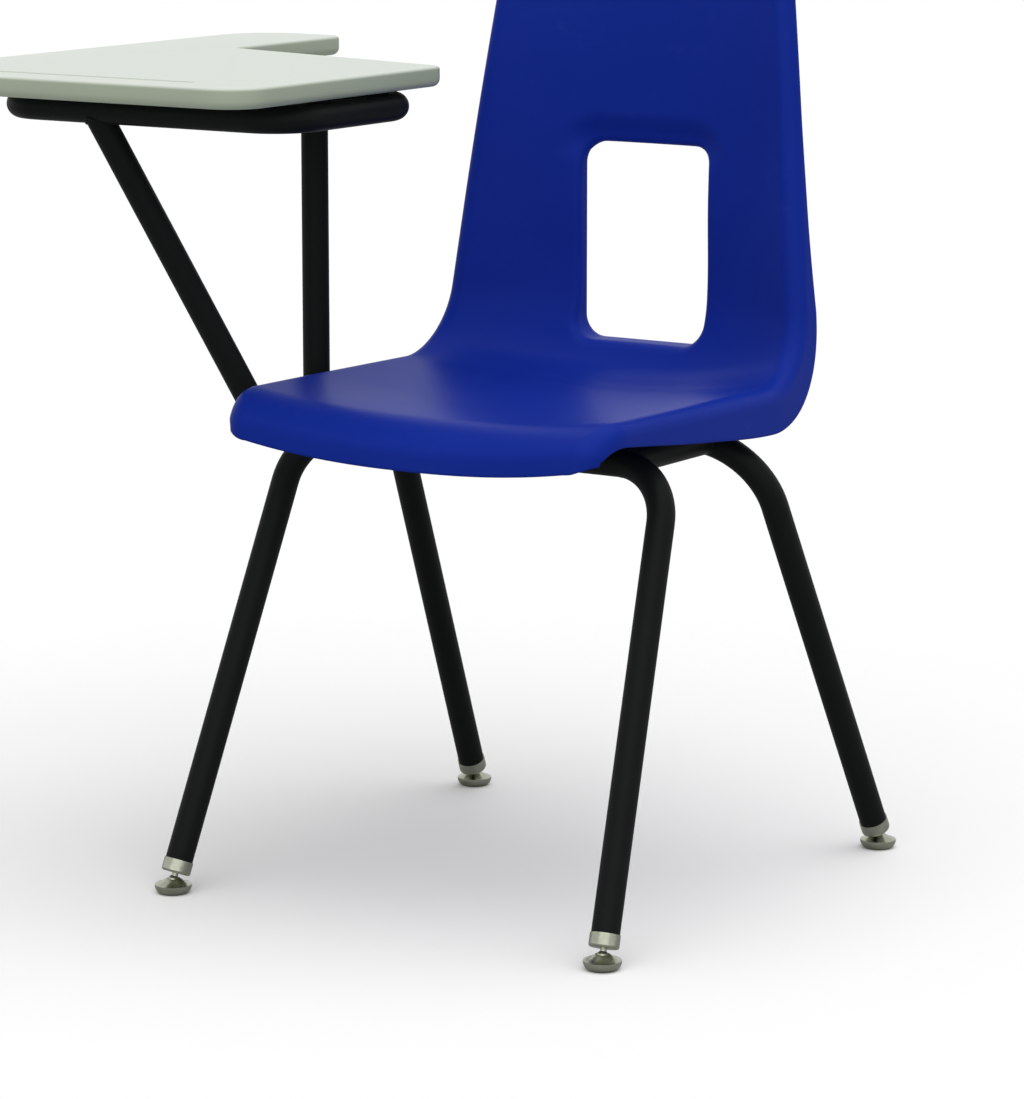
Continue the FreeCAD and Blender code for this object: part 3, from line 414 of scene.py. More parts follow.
# %% [markdown]
# ## The window in the back
# A hand hole with a rolled rim. Cutting a hole through a grid leaves ragged edges, so a block of
# whole cells is left out instead and filled with a ring of new cells, whose outer points are the
# block's own edge and whose inner points lie on the rounded window. Going round the ring, each
# side of the block is matched with the same side of the window.

# %% Sizes of the window
WINDOW_HALF = 70.0 * MM
WINDOW_LOW = 476.0 * MM
WINDOW_HIGH = 663.0 * MM
WINDOW_CORNER = 21.0 * MM
WINDOW_MARGIN = 34.0 * MM
RIM_ROUND = 7.0 * MM
RIM_REACH = 10.0 * MM
BAND_WIDTH = 27.0 * MM
BAND_DEPTH = 8.0 * MM
RING_ROWS = 22
RETURN_ROWS = 5
FIND_STEPS = 40
FIND_PACE = 0.8
ACROSS_WIDTH = 2.4 * WINDOW_HALF
STEEP_ENOUGH = 0.5


def window_sides(counts):
    """Points of the rounded window's outline in width and height, as its four sides from corner to
    corner, anticlockwise from the lower left as seen from the front.

    A side is a straight run, and what its travel has beyond that run, divided by the corner's
    radius, is the angle on an arc. Each side is the first one turned by a quarter more.
    """
    middle = (WINDOW_LOW + WINDOW_HIGH) / 2
    size = np.array([WINDOW_HALF, (WINDOW_HIGH - WINDOW_LOW) / 2])
    sides = []
    for index, count in enumerate(counts):
        turn = index * np.pi / 2
        run = size[index % 2] - WINDOW_CORNER
        reach = size[(index + 1) % 2] - WINDOW_CORNER
        quarter = WINDOW_CORNER * np.pi / 4
        travel = np.linspace(-(run + quarter), run + quarter, count, endpoint=False)
        flat = np.clip(travel, -run, run)
        bend = (travel - flat) / WINDOW_CORNER
        step = flat + WINDOW_CORNER * np.sin(bend)
        away = reach + WINDOW_CORNER * np.cos(bend)
        x = step * np.cos(turn) + away * np.sin(turn)
        z = step * np.sin(turn) - away * np.cos(turn)
        sides.append(np.stack([x, z + middle], -1))
    return np.concatenate(sides)


def find_place(x, z):
    """The place and the share across at which the shell's surface has that width and height.

    Each step moves both by most of what is missing, divided by how fast width and height change.
    """
    place = np.interp(z, [back_start[1], TOP], [BACK_START, BACK_END])
    share = x / WINDOW_HALF / 2
    for _ in range(FIND_STEPS):
        point = shell_point(place, share)
        slope = np.sin(np.clip((place - SEAT_END) / BEND_RADIUS, STEEP_ENOUGH, BACK_HEADING))
        place = place + FIND_PACE * (z - point[..., 2]) / slope
        share = share + FIND_PACE * (x - point[..., 0]) / ACROSS_WIDTH
    return place, share


def rim_dip(points):
    """How far the surface falls back near the window: a quarter round at the rim, and above the
    window a wider band that slopes into it.

    Both follow from the distance to the window's outline, and the band also from how far the way
    from that outline points upwards.
    """
    x, z = np.abs(points[..., 0]), points[..., 2]
    sideways = np.maximum(x - (WINDOW_HALF - WINDOW_CORNER), 0)
    upwards = np.maximum(z - (WINDOW_HIGH - WINDOW_CORNER), 0)
    downwards = np.maximum(WINDOW_LOW + WINDOW_CORNER - z, 0)
    distance = np.hypot(sideways, np.maximum(upwards, downwards)) - WINDOW_CORNER
    near = np.clip(1 - distance / RIM_ROUND, 0, 1)
    roll = RIM_ROUND * (1 - np.sqrt(np.maximum(1 - near ** 2, 0)))
    above = upwards / np.maximum(np.hypot(sideways, upwards), MM)
    band = BAND_DEPTH * ease(1 - (distance - RIM_ROUND / 2) / BAND_WIDTH) * ease(above)
    return roll + band


# %% [markdown]
# The block of cells is found from the surface itself: all the rows and columns that come within
# the window's margin, so it moves along when a size of the window changes. The rest of the grid
# takes its share of the dip round the window.

# %% The cells round the window
surface = shell_point(places, acrosses)
inside = (np.abs(surface[..., 0]) < WINDOW_HALF + WINDOW_MARGIN) & (places > SEAT_END)
inside &= surface[..., 2] > WINDOW_LOW - WINDOW_MARGIN / 2
inside &= surface[..., 2] < WINDOW_HIGH + WINDOW_MARGIN
block_rows = np.flatnonzero(inside.any(1))
block_columns = np.flatnonzero(inside[block_rows[len(block_rows) // 2]])
low_row, high_row = block_rows[0], block_rows[-1]
low_column, high_column = block_columns[0], block_columns[-1]
surface[..., 1] += rim_dip(surface) * (places > SEAT_END)

cells = grid_faces(*places.shape)
cell_row, cell_column = np.divmod(cells[:, 0], places.shape[1])
in_block = (cell_row >= low_row) & (cell_row < high_row)
in_block &= (cell_column >= low_column) & (cell_column < high_column)
cells = cells[~in_block]
print(f"{in_block.sum()} cells make room for the window's ring")

# %% [markdown]
# The ring's outer points have the places of the block's edge and its inner ones the places of the
# rounded window. The rows between are shares of that way, worked out in the surface's own two
# numbers, so that each of their points lies on the shell too: straight lines between the two
# outlines would leave a flat patch. The rows crowd towards the rim, where the surface turns
# fastest, and the last ones run straight back as the return flange, which ends on one upright
# plane.

# %% The window's ring, and the shell as one mesh
across_count = high_column - low_column
up_count = high_row - low_row
edge_places = np.concatenate([
    places[low_row, low_column:high_column],
    places[low_row:high_row, high_column],
    places[high_row, high_column:low_column:-1],
    places[high_row:low_row:-1, low_column],
])
edge_acrosses = np.concatenate([
    acrosses[low_row, low_column:high_column],
    acrosses[low_row:high_row, high_column],
    acrosses[high_row, high_column:low_column:-1],
    acrosses[high_row:low_row:-1, low_column],
])
rim = window_sides([across_count, up_count, across_count, up_count])
rim_places, rim_acrosses = find_place(rim[:, 0], rim[:, 1])
weight = 1 - (1 - np.linspace(0, 1, RING_ROWS + 1))[:, None] ** 2
ring = shell_point(
    edge_places + (rim_places - edge_places) * weight,
    edge_acrosses + (rim_acrosses - edge_acrosses) * weight,
)
ring[..., 1] += rim_dip(ring)
window_middle = np.array([(WINDOW_LOW + WINDOW_HIGH) / 2])
middle_place, middle_share = find_place(np.array([0.0]), window_middle)
rim_depth = shell_point(middle_place, middle_share)[0, 1] + RIM_REACH
back_share = np.linspace(0, 1, RETURN_ROWS + 1)[1:, None]
flange = np.repeat(ring[-1:], RETURN_ROWS, 0)
flange[..., 1] += (np.maximum(rim_depth, ring[-1, :, 1] + MM) - ring[-1, :, 1]) * back_share
ring = np.concatenate([ring, flange])
ring = np.concatenate([ring, ring[:, :1]], 1)
ring_cells = grid_faces(*ring.shape[:2], start=places.size)
shell_points = np.concatenate([surface.reshape(-1, 3), ring.reshape(-1, 3)]) + CHAIR
shell_faces = np.concatenate([cells, ring_cells])

seat_shell_skin = make_piece("seat_shell_skin", shell_points, shell_faces)

# %% [markdown]
# The surface so far has no thickness. A Solidify modifier gives it the moulding's wall, measured
# away from the sitter, and a narrow Bevel rounds the trimmed edge as a mould does. Where the
# bevel's new points fall on each other at a tight corner, a Weld makes one of them.

# %% Wall and trimmed edge
TRIM_ROUND = 1.3 * MM
TRIM_SEGMENTS = 3
TRIM_ANGLE = np.radians(50)
TRIM_WELD = 0.03 * MM

wall = seat_shell_skin.modifiers.new("wall", "SOLIDIFY")
wall.thickness = WALL
wall.offset = -1.0
wall.use_even_offset = True
edge_round = seat_shell_skin.modifiers.new("edge_round", "BEVEL")
edge_round.width = TRIM_ROUND
edge_round.segments = TRIM_SEGMENTS
edge_round.limit_method = "ANGLE"
edge_round.angle_limit = TRIM_ANGLE
edge_clean = seat_shell_skin.modifiers.new("edge_clean", "WELD")
edge_clean.merge_threshold = TRIM_WELD
apply_modifiers(seat_shell_skin)
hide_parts("seat_shell")
print(f"with wall and rounded edge the shell has {len(seat_shell_skin.data.polygons)} faces")

# %% [markdown]
# ## The bosses under the seat
# Four round bosses stand down from the moulding onto the frame's tabs, each with a hole for a
# screw. A boss is an outline turned about its axis. Its foot is on the tab, and its head ends
# halfway through the moulding's wall, at the height that the shell's own surface has there. A
# Boolean could join it to the seat, but a head that ends unseen in the wall looks the same and
# leaves both meshes clean.

# %% Bosses
BOSS_RADIUS = 11.0 * MM
BOSS_FLARE = 3.0 * MM
BOSS_BREAK = 0.5 * MM
BOSS_FROM_TAB_MIDDLE = 8.0 * MM
BOSS_HOLE = 2.6 * MM
BOSS_HOLE_DEPTH = 14.2 * MM
FLARE_POINTS = 7
TURNED_SIDES = 48


def turned(outline, centre):
    """An outline of radius and height turned about the vertical through the centre: the radius
    times the cosine and the sine of the turn, and the height as it is."""
    turn = np.linspace(0, 2 * np.pi, TURNED_SIDES + 1)
    radius, height = outline[:, None, 0], outline[:, None, 1]
    ring = [radius * np.cos(turn), radius * np.sin(turn), height + 0 * turn]
    return np.stack(ring, -1) + centre


def boss_outline(height):
    """Radius and height of a boss from the end of its hole, down, out and up to its flared head."""
    flare_turn = np.linspace(0, np.pi / 2, FLARE_POINTS)[:, None]
    flare = np.hstack([
        BOSS_RADIUS + BOSS_FLARE * (1 - np.cos(flare_turn)),
        height - BOSS_FLARE * (1 - np.sin(flare_turn)),
    ])
    return np.concatenate([
        [[0, BOSS_HOLE_DEPTH], [BOSS_HOLE, BOSS_HOLE_DEPTH]],
        [[BOSS_HOLE, BOSS_BREAK], [BOSS_HOLE + BOSS_BREAK, 0]],
        [[BOSS_RADIUS - BOSS_BREAK, 0], [BOSS_RADIUS, BOSS_BREAK]],
        flare,
        [[0, height]],
    ])


boss_points = []
boss_faces = []
seat_points = surface[places < SEAT_END] + CHAIR
for end, side_of_run in (("front", 1), ("rear", -1)):
    for side in ("left", "right"):
        low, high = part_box(f"{end}_{side}_seat_tab")
        boss_y = (low.y + high.y) / 2 + side_of_run * BOSS_FROM_TAB_MIDDLE
        foot = np.array([(low.x + high.x) / 2, boss_y, high.z])
        nearest = np.linalg.norm(seat_points[:, :2] - foot[:2], axis=1).argmin()
        boss_head = seat_points[nearest, 2] - WALL / 2
        print(f"{end} {side} boss: {(boss_head - high.z) / MM:.1f} mm tall")
        boss = turned(boss_outline(boss_head - high.z), foot)
        boss_faces.append(grid_faces(*boss.shape[:2], start=sum(map(len, boss_points))))
        boss_points.append(boss.reshape(-1, 3))
seat_bosses = make_piece(
    "seat_bosses", np.concatenate(boss_points), np.concatenate(boss_faces)
)

# %% [markdown]
# ## The writing board
# The board is one hard moulding, nearly crisp along its upper edge, where paper and wrist lie,
# and much rounder below. A flat block under a Bevel modifier would get the same round above and
# below, so the edge is one profile carried round the outline instead. The outline turns its
# outward direction at every corner, so an arc is the corner's centre moved along that direction,
# and an inner corner, such as the one at the elbow rest, is the same with the sign turned round.

# %% Outline of the board
BOARD_TIP_Y = 274.0 * MM
BOARD_NOTCH = np.array([-410.0, 347.0]) * MM
BOARD_RADII = np.array([40.0, 40.0, 17.0, 15.0, 18.0, 58.0]) * MM
BOARD_TOP_ROUND = 3.2 * MM
BOARD_UNDER_ROUND = 7.5 * MM
ARC_POINTS = 17
PROFILE_POINTS = 9


def rounded_outline(corners, radii, steps):
    """Points of a closed outline, anticlockwise, with rounded corners, and the way out at each.

    An arc's centre is the corner less the bisector times the radius over the cosine of half the
    turn, and its points are the centre plus the way out times the radius.
    """
    before = corners - np.roll(corners, 1, 0)
    after = np.roll(corners, -1, 0) - corners
    start = np.arctan2(-before[:, 0], before[:, 1])
    turn = np.arctan2(-after[:, 0], after[:, 1]) - start
    turn = (turn + np.pi) % (2 * np.pi) - np.pi
    signed = radii * np.sign(turn)
    halfway = start + turn / 2
    bisector = np.stack([np.cos(halfway), np.sin(halfway)], -1)
    centre = corners - bisector * (signed / np.cos(turn / 2))[:, None]
    angle = start[:, None] + turn[:, None] * np.linspace(0, 1, steps)
    out = np.stack([np.cos(angle), np.sin(angle)], -1)
    points = centre[:, None] + out * signed[:, None, None]
    return points.reshape(-1, 2), out.reshape(-1, 2)


board_low, board_high = (np.array(corner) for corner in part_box("tablet_top"))
notch = BOARD_NOTCH + CHAIR[:2]
board_corners = np.array([
    [board_low[0], board_low[1]],
    [board_high[0], board_low[1]],
    [board_high[0], CHAIR[1] + BOARD_TIP_Y],
    notch,
    [notch[0], board_high[1]],
    [board_low[0], board_high[1]],
])
board_outline, board_out = rounded_outline(board_corners, BOARD_RADII, ARC_POINTS)
quarter = np.linspace(0, np.pi / 2, PROFILE_POINTS)
board_inset = np.concatenate([
    BOARD_UNDER_ROUND * (1 - np.sin(quarter)), BOARD_TOP_ROUND * (1 - np.cos(quarter))
])
board_height = np.concatenate([
    board_low[2] + BOARD_UNDER_ROUND * (1 - np.cos(quarter)),
    board_high[2] - BOARD_TOP_ROUND * (1 - np.sin(quarter)),
])
print(f"the board's outline has {len(board_outline)} points")

# %% [markdown]
# The edge's rows of points are joined into a band that closes on itself, and the flat top and the
# underside are one face each.

# %% The board
board_edge = board_outline - board_out * board_inset[:, None, None]
rows, columns = board_edge.shape[:2]
edge_height = np.broadcast_to(board_height[:, None, None], (rows, columns, 1))
board_edge = np.concatenate([board_edge, edge_height], -1)
first = np.arange(columns)
second = (first + 1) % columns
band = np.stack([first, second, second + columns, first + columns], -1)
edge_cells = (band + np.arange(rows - 1)[:, None, None] * columns).reshape(-1, 4)
tablet_board = make_piece(
    "tablet_board",
    board_edge,
    edge_cells,
    caps=((first + (rows - 1) * columns).tolist(), first[::-1].tolist()),
)

# %% [markdown]
# The board has a groove near its front edge for a pencil. It is cut with a Boolean modifier: its
# tool is a long capsule with most of its body above the board's top, so that the cut is shallow
# and runs out softly at both ends, as it does where a round cutter or mould pin made it.

# %% The pencil groove
GROOVE_MIDDLE = np.array([-337.0, 0.0]) * MM
GROOVE_HALF_LENGTH = 142.0 * MM
GROOVE_RADIUS = 5.3 * MM
GROOVE_DEPTH = 2.5 * MM
CAPSULE_POINTS = 13
BOARD_SHARP = np.radians(20)

end_turn = np.linspace(0, np.pi / 2, CAPSULE_POINTS)
capsule_outline = np.stack([GROOVE_RADIUS * np.sin(end_turn), GROOVE_RADIUS * np.cos(end_turn)], -1)
capsule_outline += np.array([0, GROOVE_HALF_LENGTH - GROOVE_RADIUS])
capsule_outline = np.concatenate([capsule_outline * [1, -1], capsule_outline[::-1]])
capsule = turned(capsule_outline, np.zeros(3))[..., [2, 0, 1]]
capsule += [*(GROOVE_MIDDLE + CHAIR[:2]), board_high[2] - GROOVE_DEPTH + GROOVE_RADIUS]
groove_tool = make_piece("groove_tool", capsule, grid_faces(*capsule.shape[:2]), body=None)
cut = tablet_board.modifiers.new("groove", "BOOLEAN")
cut.operation = "DIFFERENCE"
cut.solver = "EXACT"
cut.object = groove_tool
apply_modifiers(tablet_board)
bpy.data.objects.remove(groove_tool)
tablet_board.data.set_sharp_from_angle(angle=BOARD_SHARP)
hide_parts("tablet_top")
print(f"the groove is {2 * GROOVE_HALF_LENGTH / MM:.0f} mm long")

# %% [markdown]
# ## Weld beads
# Where one tube ends on another, a bead of weld runs round the joint. A torus fits only where a
# tube ends on a flat plate, and here tube meets tube, so the line is worked out. The joint's line
# is where the straight lines along the first tube's surface meet the second tube, so each line is
# followed from the open side and its meeting point is found by halving an interval, for all lines
# at once.

# %% Weld beads
TUBE_RADIUS = 12.7 * MM
JOINT_REACH = TUBE_RADIUS + 0.3 * MM
BEAD_RADIUS = 1.4 * MM
BEAD_RIPPLE = 0.14
BEAD_TAPER = 6.0
RIPPLES = 26
BEAD_POINTS = 208
BEAD_SIDES = 12
HALVINGS = 24


def distance_to_line(points, line):
    """Shortest distance from each point to a line of straight pieces: the nearest point of a piece
    is where the offset's share of the run, kept between 0 and 1, falls."""
    start, run = line[:-1], np.diff(line, axis=0)
    offset = points[:, None] - start
    share = np.clip((offset * run).sum(-1) / (run * run).sum(-1), 0, 1)
    return np.linalg.norm(offset - share[..., None] * run, axis=-1).min(1)


def joint_line(begin, finish, main):
    """Points round a tube from begin to finish where its surface meets a tube about the main line,
    or its end where it doesn't, with the way out at each point and which of them meet.

    A point is the tube's begin, plus its radius along the way out, plus the distance along its
    axis that the halving finds.
    """
    axis = (finish - begin) / np.linalg.norm(finish - begin)
    helper = np.eye(3)[np.argmin(np.abs(axis))]
    first = np.cross(axis, helper)
    first /= np.linalg.norm(first)
    turn = np.linspace(0, 2 * np.pi, BEAD_POINTS, endpoint=False)[:, None]
    radial = first * np.cos(turn) + np.cross(axis, first) * np.sin(turn)
    near = np.zeros((BEAD_POINTS, 1))
    far = np.full((BEAD_POINTS, 1), np.linalg.norm(finish - begin))
    base = begin + radial * TUBE_RADIUS
    meets = distance_to_line(base + axis * far, main) < JOINT_REACH
    for _ in range(HALVINGS):
        middle = (near + far) / 2
        within = (distance_to_line(base + axis * middle, main) < JOINT_REACH)[:, None]
        near, far = np.where(within, near, middle), np.where(within, middle, far)
    return base + axis * near, radial, meets


def bead(begin, finish, main, whole=True):
    """A rippled bead along the joint line; an open one keeps to where the tubes meet.

    It is a ring round each point of the line: the bead's size times the cosine of the turn along
    the way out, and times its sine square to that. The size swells with the sine of the ripple.
    """
    spine, radial, meets = joint_line(*(np.array(point, float) for point in (begin, finish, main)))
    tangent = np.roll(spine, -1, 0) - np.roll(spine, 1, 0)
    tangent /= np.linalg.norm(tangent, axis=1, keepdims=True)
    side = np.cross(radial, tangent)
    side /= np.linalg.norm(side, axis=1, keepdims=True)
    share = np.arange(BEAD_POINTS) / BEAD_POINTS
    size = BEAD_RADIUS * (1 - BEAD_RIPPLE + BEAD_RIPPLE * np.abs(np.sin(share * RIPPLES * np.pi)))
    turn = np.linspace(0, 2 * np.pi, BEAD_SIDES + 1)[:, None, None]
    rings = size[:, None] * (np.cos(turn) * radial + np.sin(turn) * side)
    if whole:
        return np.concatenate([spine + rings, spine[:1] + rings[:, :1]], 1)
    start = np.flatnonzero(meets & ~np.roll(meets, 1))[0]
    kept = np.roll(np.arange(BEAD_POINTS), -start)[: meets.sum()]
    taper = np.clip(np.sin(np.linspace(0, np.pi, len(kept))) * BEAD_TAPER, 0, 1)
    return spine[kept] + rings[:, kept] * taper[:, None]


# %% [markdown]
# Most lines of the tubes come from the boxes of the frame's solids. A rail's box gives its axis,
# and a cross run is the highest part of its leg tube. The ring is a level loop, so its box less
# the tube's radius is its centre line, of which only the straight runs carry joints. Where post
# and strut stand is given as the sizes that they were drawn with, because no box shows it.

# %% Centre lines of the tubes
STRUT_TOP_X = -345.5 * MM
STRUT_FOOT_X = -179.0 * MM
POST_X = -241.0 * MM
POST_RUN_HEIGHT = 398.0 * MM

rails = {side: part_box(f"{side}_side_rail") for side in ("left", "right")}
rail_x = {side: (low.x + high.x) / 2 for side, (low, high) in rails.items()}
run_height = rails["left"][1].z - TUBE_RADIUS
front_low, front_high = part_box("front_leg_tube")
rear_low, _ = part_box("rear_leg_tube")
front_run_y = front_high.y - TUBE_RADIUS
rear_run_y = rear_low.y + TUBE_RADIUS
ring_low, ring_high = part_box("tablet_ring")
ring_height = (ring_low.z + ring_high.z) / 2
post_x = CHAIR[0] + POST_X
strut_x = CHAIR[0] + STRUT_TOP_X
ring_front_y = ring_low.y + TUBE_RADIUS
ring_rear_y = ring_high.y - TUBE_RADIUS


def cross_run(y, height, low, high):
    """Centre line of a level tube that runs from side to side between the ends of a box."""
    return [[low.x, y, height], [high.x, y, height]]


print(f"cross runs at {run_height:.3f} m, ring at {ring_height:.3f} m")

# %% [markdown]
# The front leg tube bends down beside the foot of the strut, so its centre line there is the end
# of the cross run, an arc, and the top of the leg. The arc lies in the leg's own leaning plane,
# whose direction down is from the bend's corner to the ball in the glide.

# %% The bend beside the strut
FRONT_BEND = 54.0 * MM
CORNER_X = -199.0 * MM
BALL_HEIGHT = 11.0 * MM
LEG_REACH = 200.0 * MM
BEND_POINTS = 24

foot_low, foot_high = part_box("front_right_glide_base")
foot = np.array([(foot_low.x + foot_high.x) / 2, CHAIR[1], BALL_HEIGHT])
corner_spot = np.array([CHAIR[0] + CORNER_X, front_run_y, run_height])
down = (foot - corner_spot) / np.linalg.norm(foot - corner_spot)
inward = np.array([1.0, 0.0, 0.0])
half_turn = np.arccos(np.clip(-down @ inward, -1, 1)) / 2
bisector = (down + inward) / np.linalg.norm(down + inward)
bend_middle = corner_spot + bisector * FRONT_BEND / np.cos(half_turn)
sweep = np.linspace(-half_turn, half_turn, BEND_POINTS)[:, None]
crosswise = (down - inward) / np.linalg.norm(down - inward)
bend_line = bend_middle - FRONT_BEND * (bisector * np.cos(sweep) - crosswise * np.sin(sweep))
front_right_line = np.concatenate([
    [corner_spot + inward * LEG_REACH],
    bend_line,
    [corner_spot + down * LEG_REACH],
])
print(f"the leg bends by {np.degrees(2 * half_turn):.1f} degrees")

# %% [markdown]
# Each bead needs three things: a point on the axis of the tube that ends, the point where that
# axis ends, and the line of the tube that it ends on. The rails have a bead at both ends, and
# post and strut at the ring and below the seat. All eight are one piece, because nothing moves
# between them.

# %% The beads
beads = []
for side in ("left", "right"):
    middle = [rail_x[side], (front_run_y + rear_run_y) / 2, run_height]
    for y in (front_run_y, rear_run_y):
        run = cross_run(y, run_height, front_low, front_high)
        beads.append(bead(middle, [rail_x[side], y, run_height], run))
post_foot = [post_x, ring_rear_y, POST_RUN_HEIGHT]
post_top = [post_x, ring_rear_y, ring_height]
post_end = [rail_x["right"], ring_rear_y, POST_RUN_HEIGHT]
rail_line = [[rail_x["right"], y, run_height] for y in (front_run_y, rear_run_y)]
strut_corner = [post_x, front_run_y, run_height]
strut_top = [strut_x, ring_front_y, ring_height]
strut_foot = [CHAIR[0] + STRUT_FOOT_X, front_run_y, run_height]
beads += [
    bead(post_foot, post_top, cross_run(ring_rear_y, ring_height, ring_low, ring_high)),
    bead(post_foot, post_end, rail_line, whole=False),
    bead(strut_corner, strut_top, cross_run(ring_front_y, ring_height, ring_low, ring_high)),
    bead(strut_corner, strut_foot, front_right_line),
]
starts = np.cumsum([0] + [part[..., 0].size for part in beads])
bead_faces = [grid_faces(*part.shape[:2], start=start) for part, start in zip(beads, starts)]
weld_beads = make_piece(
    "weld_beads",
    np.concatenate([part.reshape(-1, 3) for part in beads]),
    np.concatenate(bead_faces),
)

# %% [markdown]
# ## Finishes
# Each material is a small network of nodes around one Principled shader. Effects that several of
# them share are made once as node groups: a fine relief, and the faint wear that years of hands
# and trouser legs leave. Every pattern reads Object coordinates, which are metres here, so that a
# grain written as one per millimetre is one per millimetre on every piece. An image would need
# its own layout on each piece, and would show its pixels close up.


# %% Helpers for materials and groups
def new_group(name, inputs, outputs):
    """A shader node group with inputs as (name, kind, default) and outputs as (name, kind)."""
    group = bpy.data.node_groups.new(name, "ShaderNodeTree")
    for label, kind, default in inputs:
        socket = group.interface.new_socket(label, in_out="INPUT", socket_type=kind)
        if default is not None:
            socket.default_value = default
    for label, kind in outputs:
        group.interface.new_socket(label, in_out="OUTPUT", socket_type=kind)
    source = group.nodes.new("NodeGroupInput")
    sink = group.nodes.new("NodeGroupOutput")
    print(f"group {name}: {len(inputs)} inputs, {len(outputs)} outputs")
    return group, source, sink


def add(tree, kind, **values):
    """A node of that kind with its properties and inputs set by name."""
    node = tree.nodes.new(kind)
    for name, value in values.items():
        if hasattr(node, name) and name not in node.inputs:
            setattr(node, name, value)
        else:
            node.inputs[name].default_value = value
    return node


def join(tree, source, output, target, target_input):
    """A link from one node's output to another node's input, each given by name or number."""
    tree.links.new(source.outputs[output], target.inputs[target_input])


# %% [markdown]
# The relief group blends two patterns: soft cells for the grain itself, and a much finer noise
# for the tooth of a mould or of baked powder. It puts out a height for a Bump node in the
# material.

# %% Group: surface relief
relief, source, sink = new_group(
    "surface_relief",
    [
        ("Vector", "NodeSocketVector", None),
        ("Grain per metre", "NodeSocketFloat", 900.0),
        ("Tooth per metre", "NodeSocketFloat", 4000.0),
        ("Tooth share", "NodeSocketFloat", 0.3),
    ],
    [("Height", "NodeSocketFloat")],
)
grain = add(relief, "ShaderNodeTexVoronoi", feature="SMOOTH_F1", Smoothness=0.6)
tooth = add(relief, "ShaderNodeTexNoise", Detail=2.0, Roughness=0.6)
blend_height = add(relief, "ShaderNodeMix", data_type="FLOAT")
join(relief, source, "Vector", grain, "Vector")
join(relief, source, "Vector", tooth, "Vector")
join(relief, source, "Grain per metre", grain, "Scale")
join(relief, source, "Tooth per metre", tooth, "Scale")
join(relief, source, "Tooth share", blend_height, "Factor")
relief.links.new(grain.outputs["Distance"], blend_height.inputs["A"])
relief.links.new(tooth.outputs["Fac"], blend_height.inputs["B"])
relief.links.new(blend_height.outputs["Result"], sink.inputs["Height"])

# %% [markdown]
# The wear group makes large soft clouds and short faint scuffs that lie across one slanting
# direction and only show inside the clouds. Its mask is 0 where the surface is as new and 1 where
# it is rubbed.

# %% Group: handling wear
wear, source, sink = new_group(
    "handling_wear",
    [
        ("Vector", "NodeSocketVector", None),
        ("Clouds per metre", "NodeSocketFloat", 6.0),
        ("Scuffs per metre", "NodeSocketFloat", 45.0),
        ("Amount", "NodeSocketFloat", 0.5),
    ],
    [("Mask", "NodeSocketFloat"), ("Clouds", "NodeSocketFloat")],
)
clouds = add(wear, "ShaderNodeTexNoise", Detail=3.0, Roughness=0.55)
stretch = add(wear, "ShaderNodeMapping")
stretch.inputs["Scale"].default_value = (1.0, 4.5, 1.6)
stretch.inputs["Rotation"].default_value = (0.3, 0.5, 0.9)
scuffs = add(wear, "ShaderNodeTexNoise", Detail=4.0, Roughness=0.7, Distortion=0.6)
sharpen = add(wear, "ShaderNodeMapRange")
sharpen.inputs["From Min"].default_value = 0.56
sharpen.inputs["From Max"].default_value = 0.78
patch = add(wear, "ShaderNodeMapRange")
patch.inputs["From Min"].default_value = 0.42
patch.inputs["From Max"].default_value = 0.68
both = add(wear, "ShaderNodeMath", operation="MULTIPLY")
scaled = add(wear, "ShaderNodeMath", operation="MULTIPLY")
join(wear, source, "Vector", clouds, "Vector")
join(wear, source, "Vector", stretch, "Vector")
join(wear, stretch, "Vector", scuffs, "Vector")
join(wear, source, "Clouds per metre", clouds, "Scale")
join(wear, source, "Scuffs per metre", scuffs, "Scale")
join(wear, scuffs, "Fac", sharpen, "Value")
join(wear, clouds, "Fac", patch, "Value")
join(wear, sharpen, "Result", both, 0)
join(wear, patch, "Result", both, 1)
join(wear, both, 0, scaled, 0)
join(wear, source, "Amount", scaled, 1)
join(wear, scaled, 0, sink, "Mask")
join(wear, clouds, "Fac", sink, "Clouds")

# %% [markdown]
# One function lays out the network that all the finishes share: a base colour that drifts between
# two near tones, a lighter or duller tone where it is worn, a roughness that follows the wear,
# and the relief as a bump. Each finish then differs only in its values.


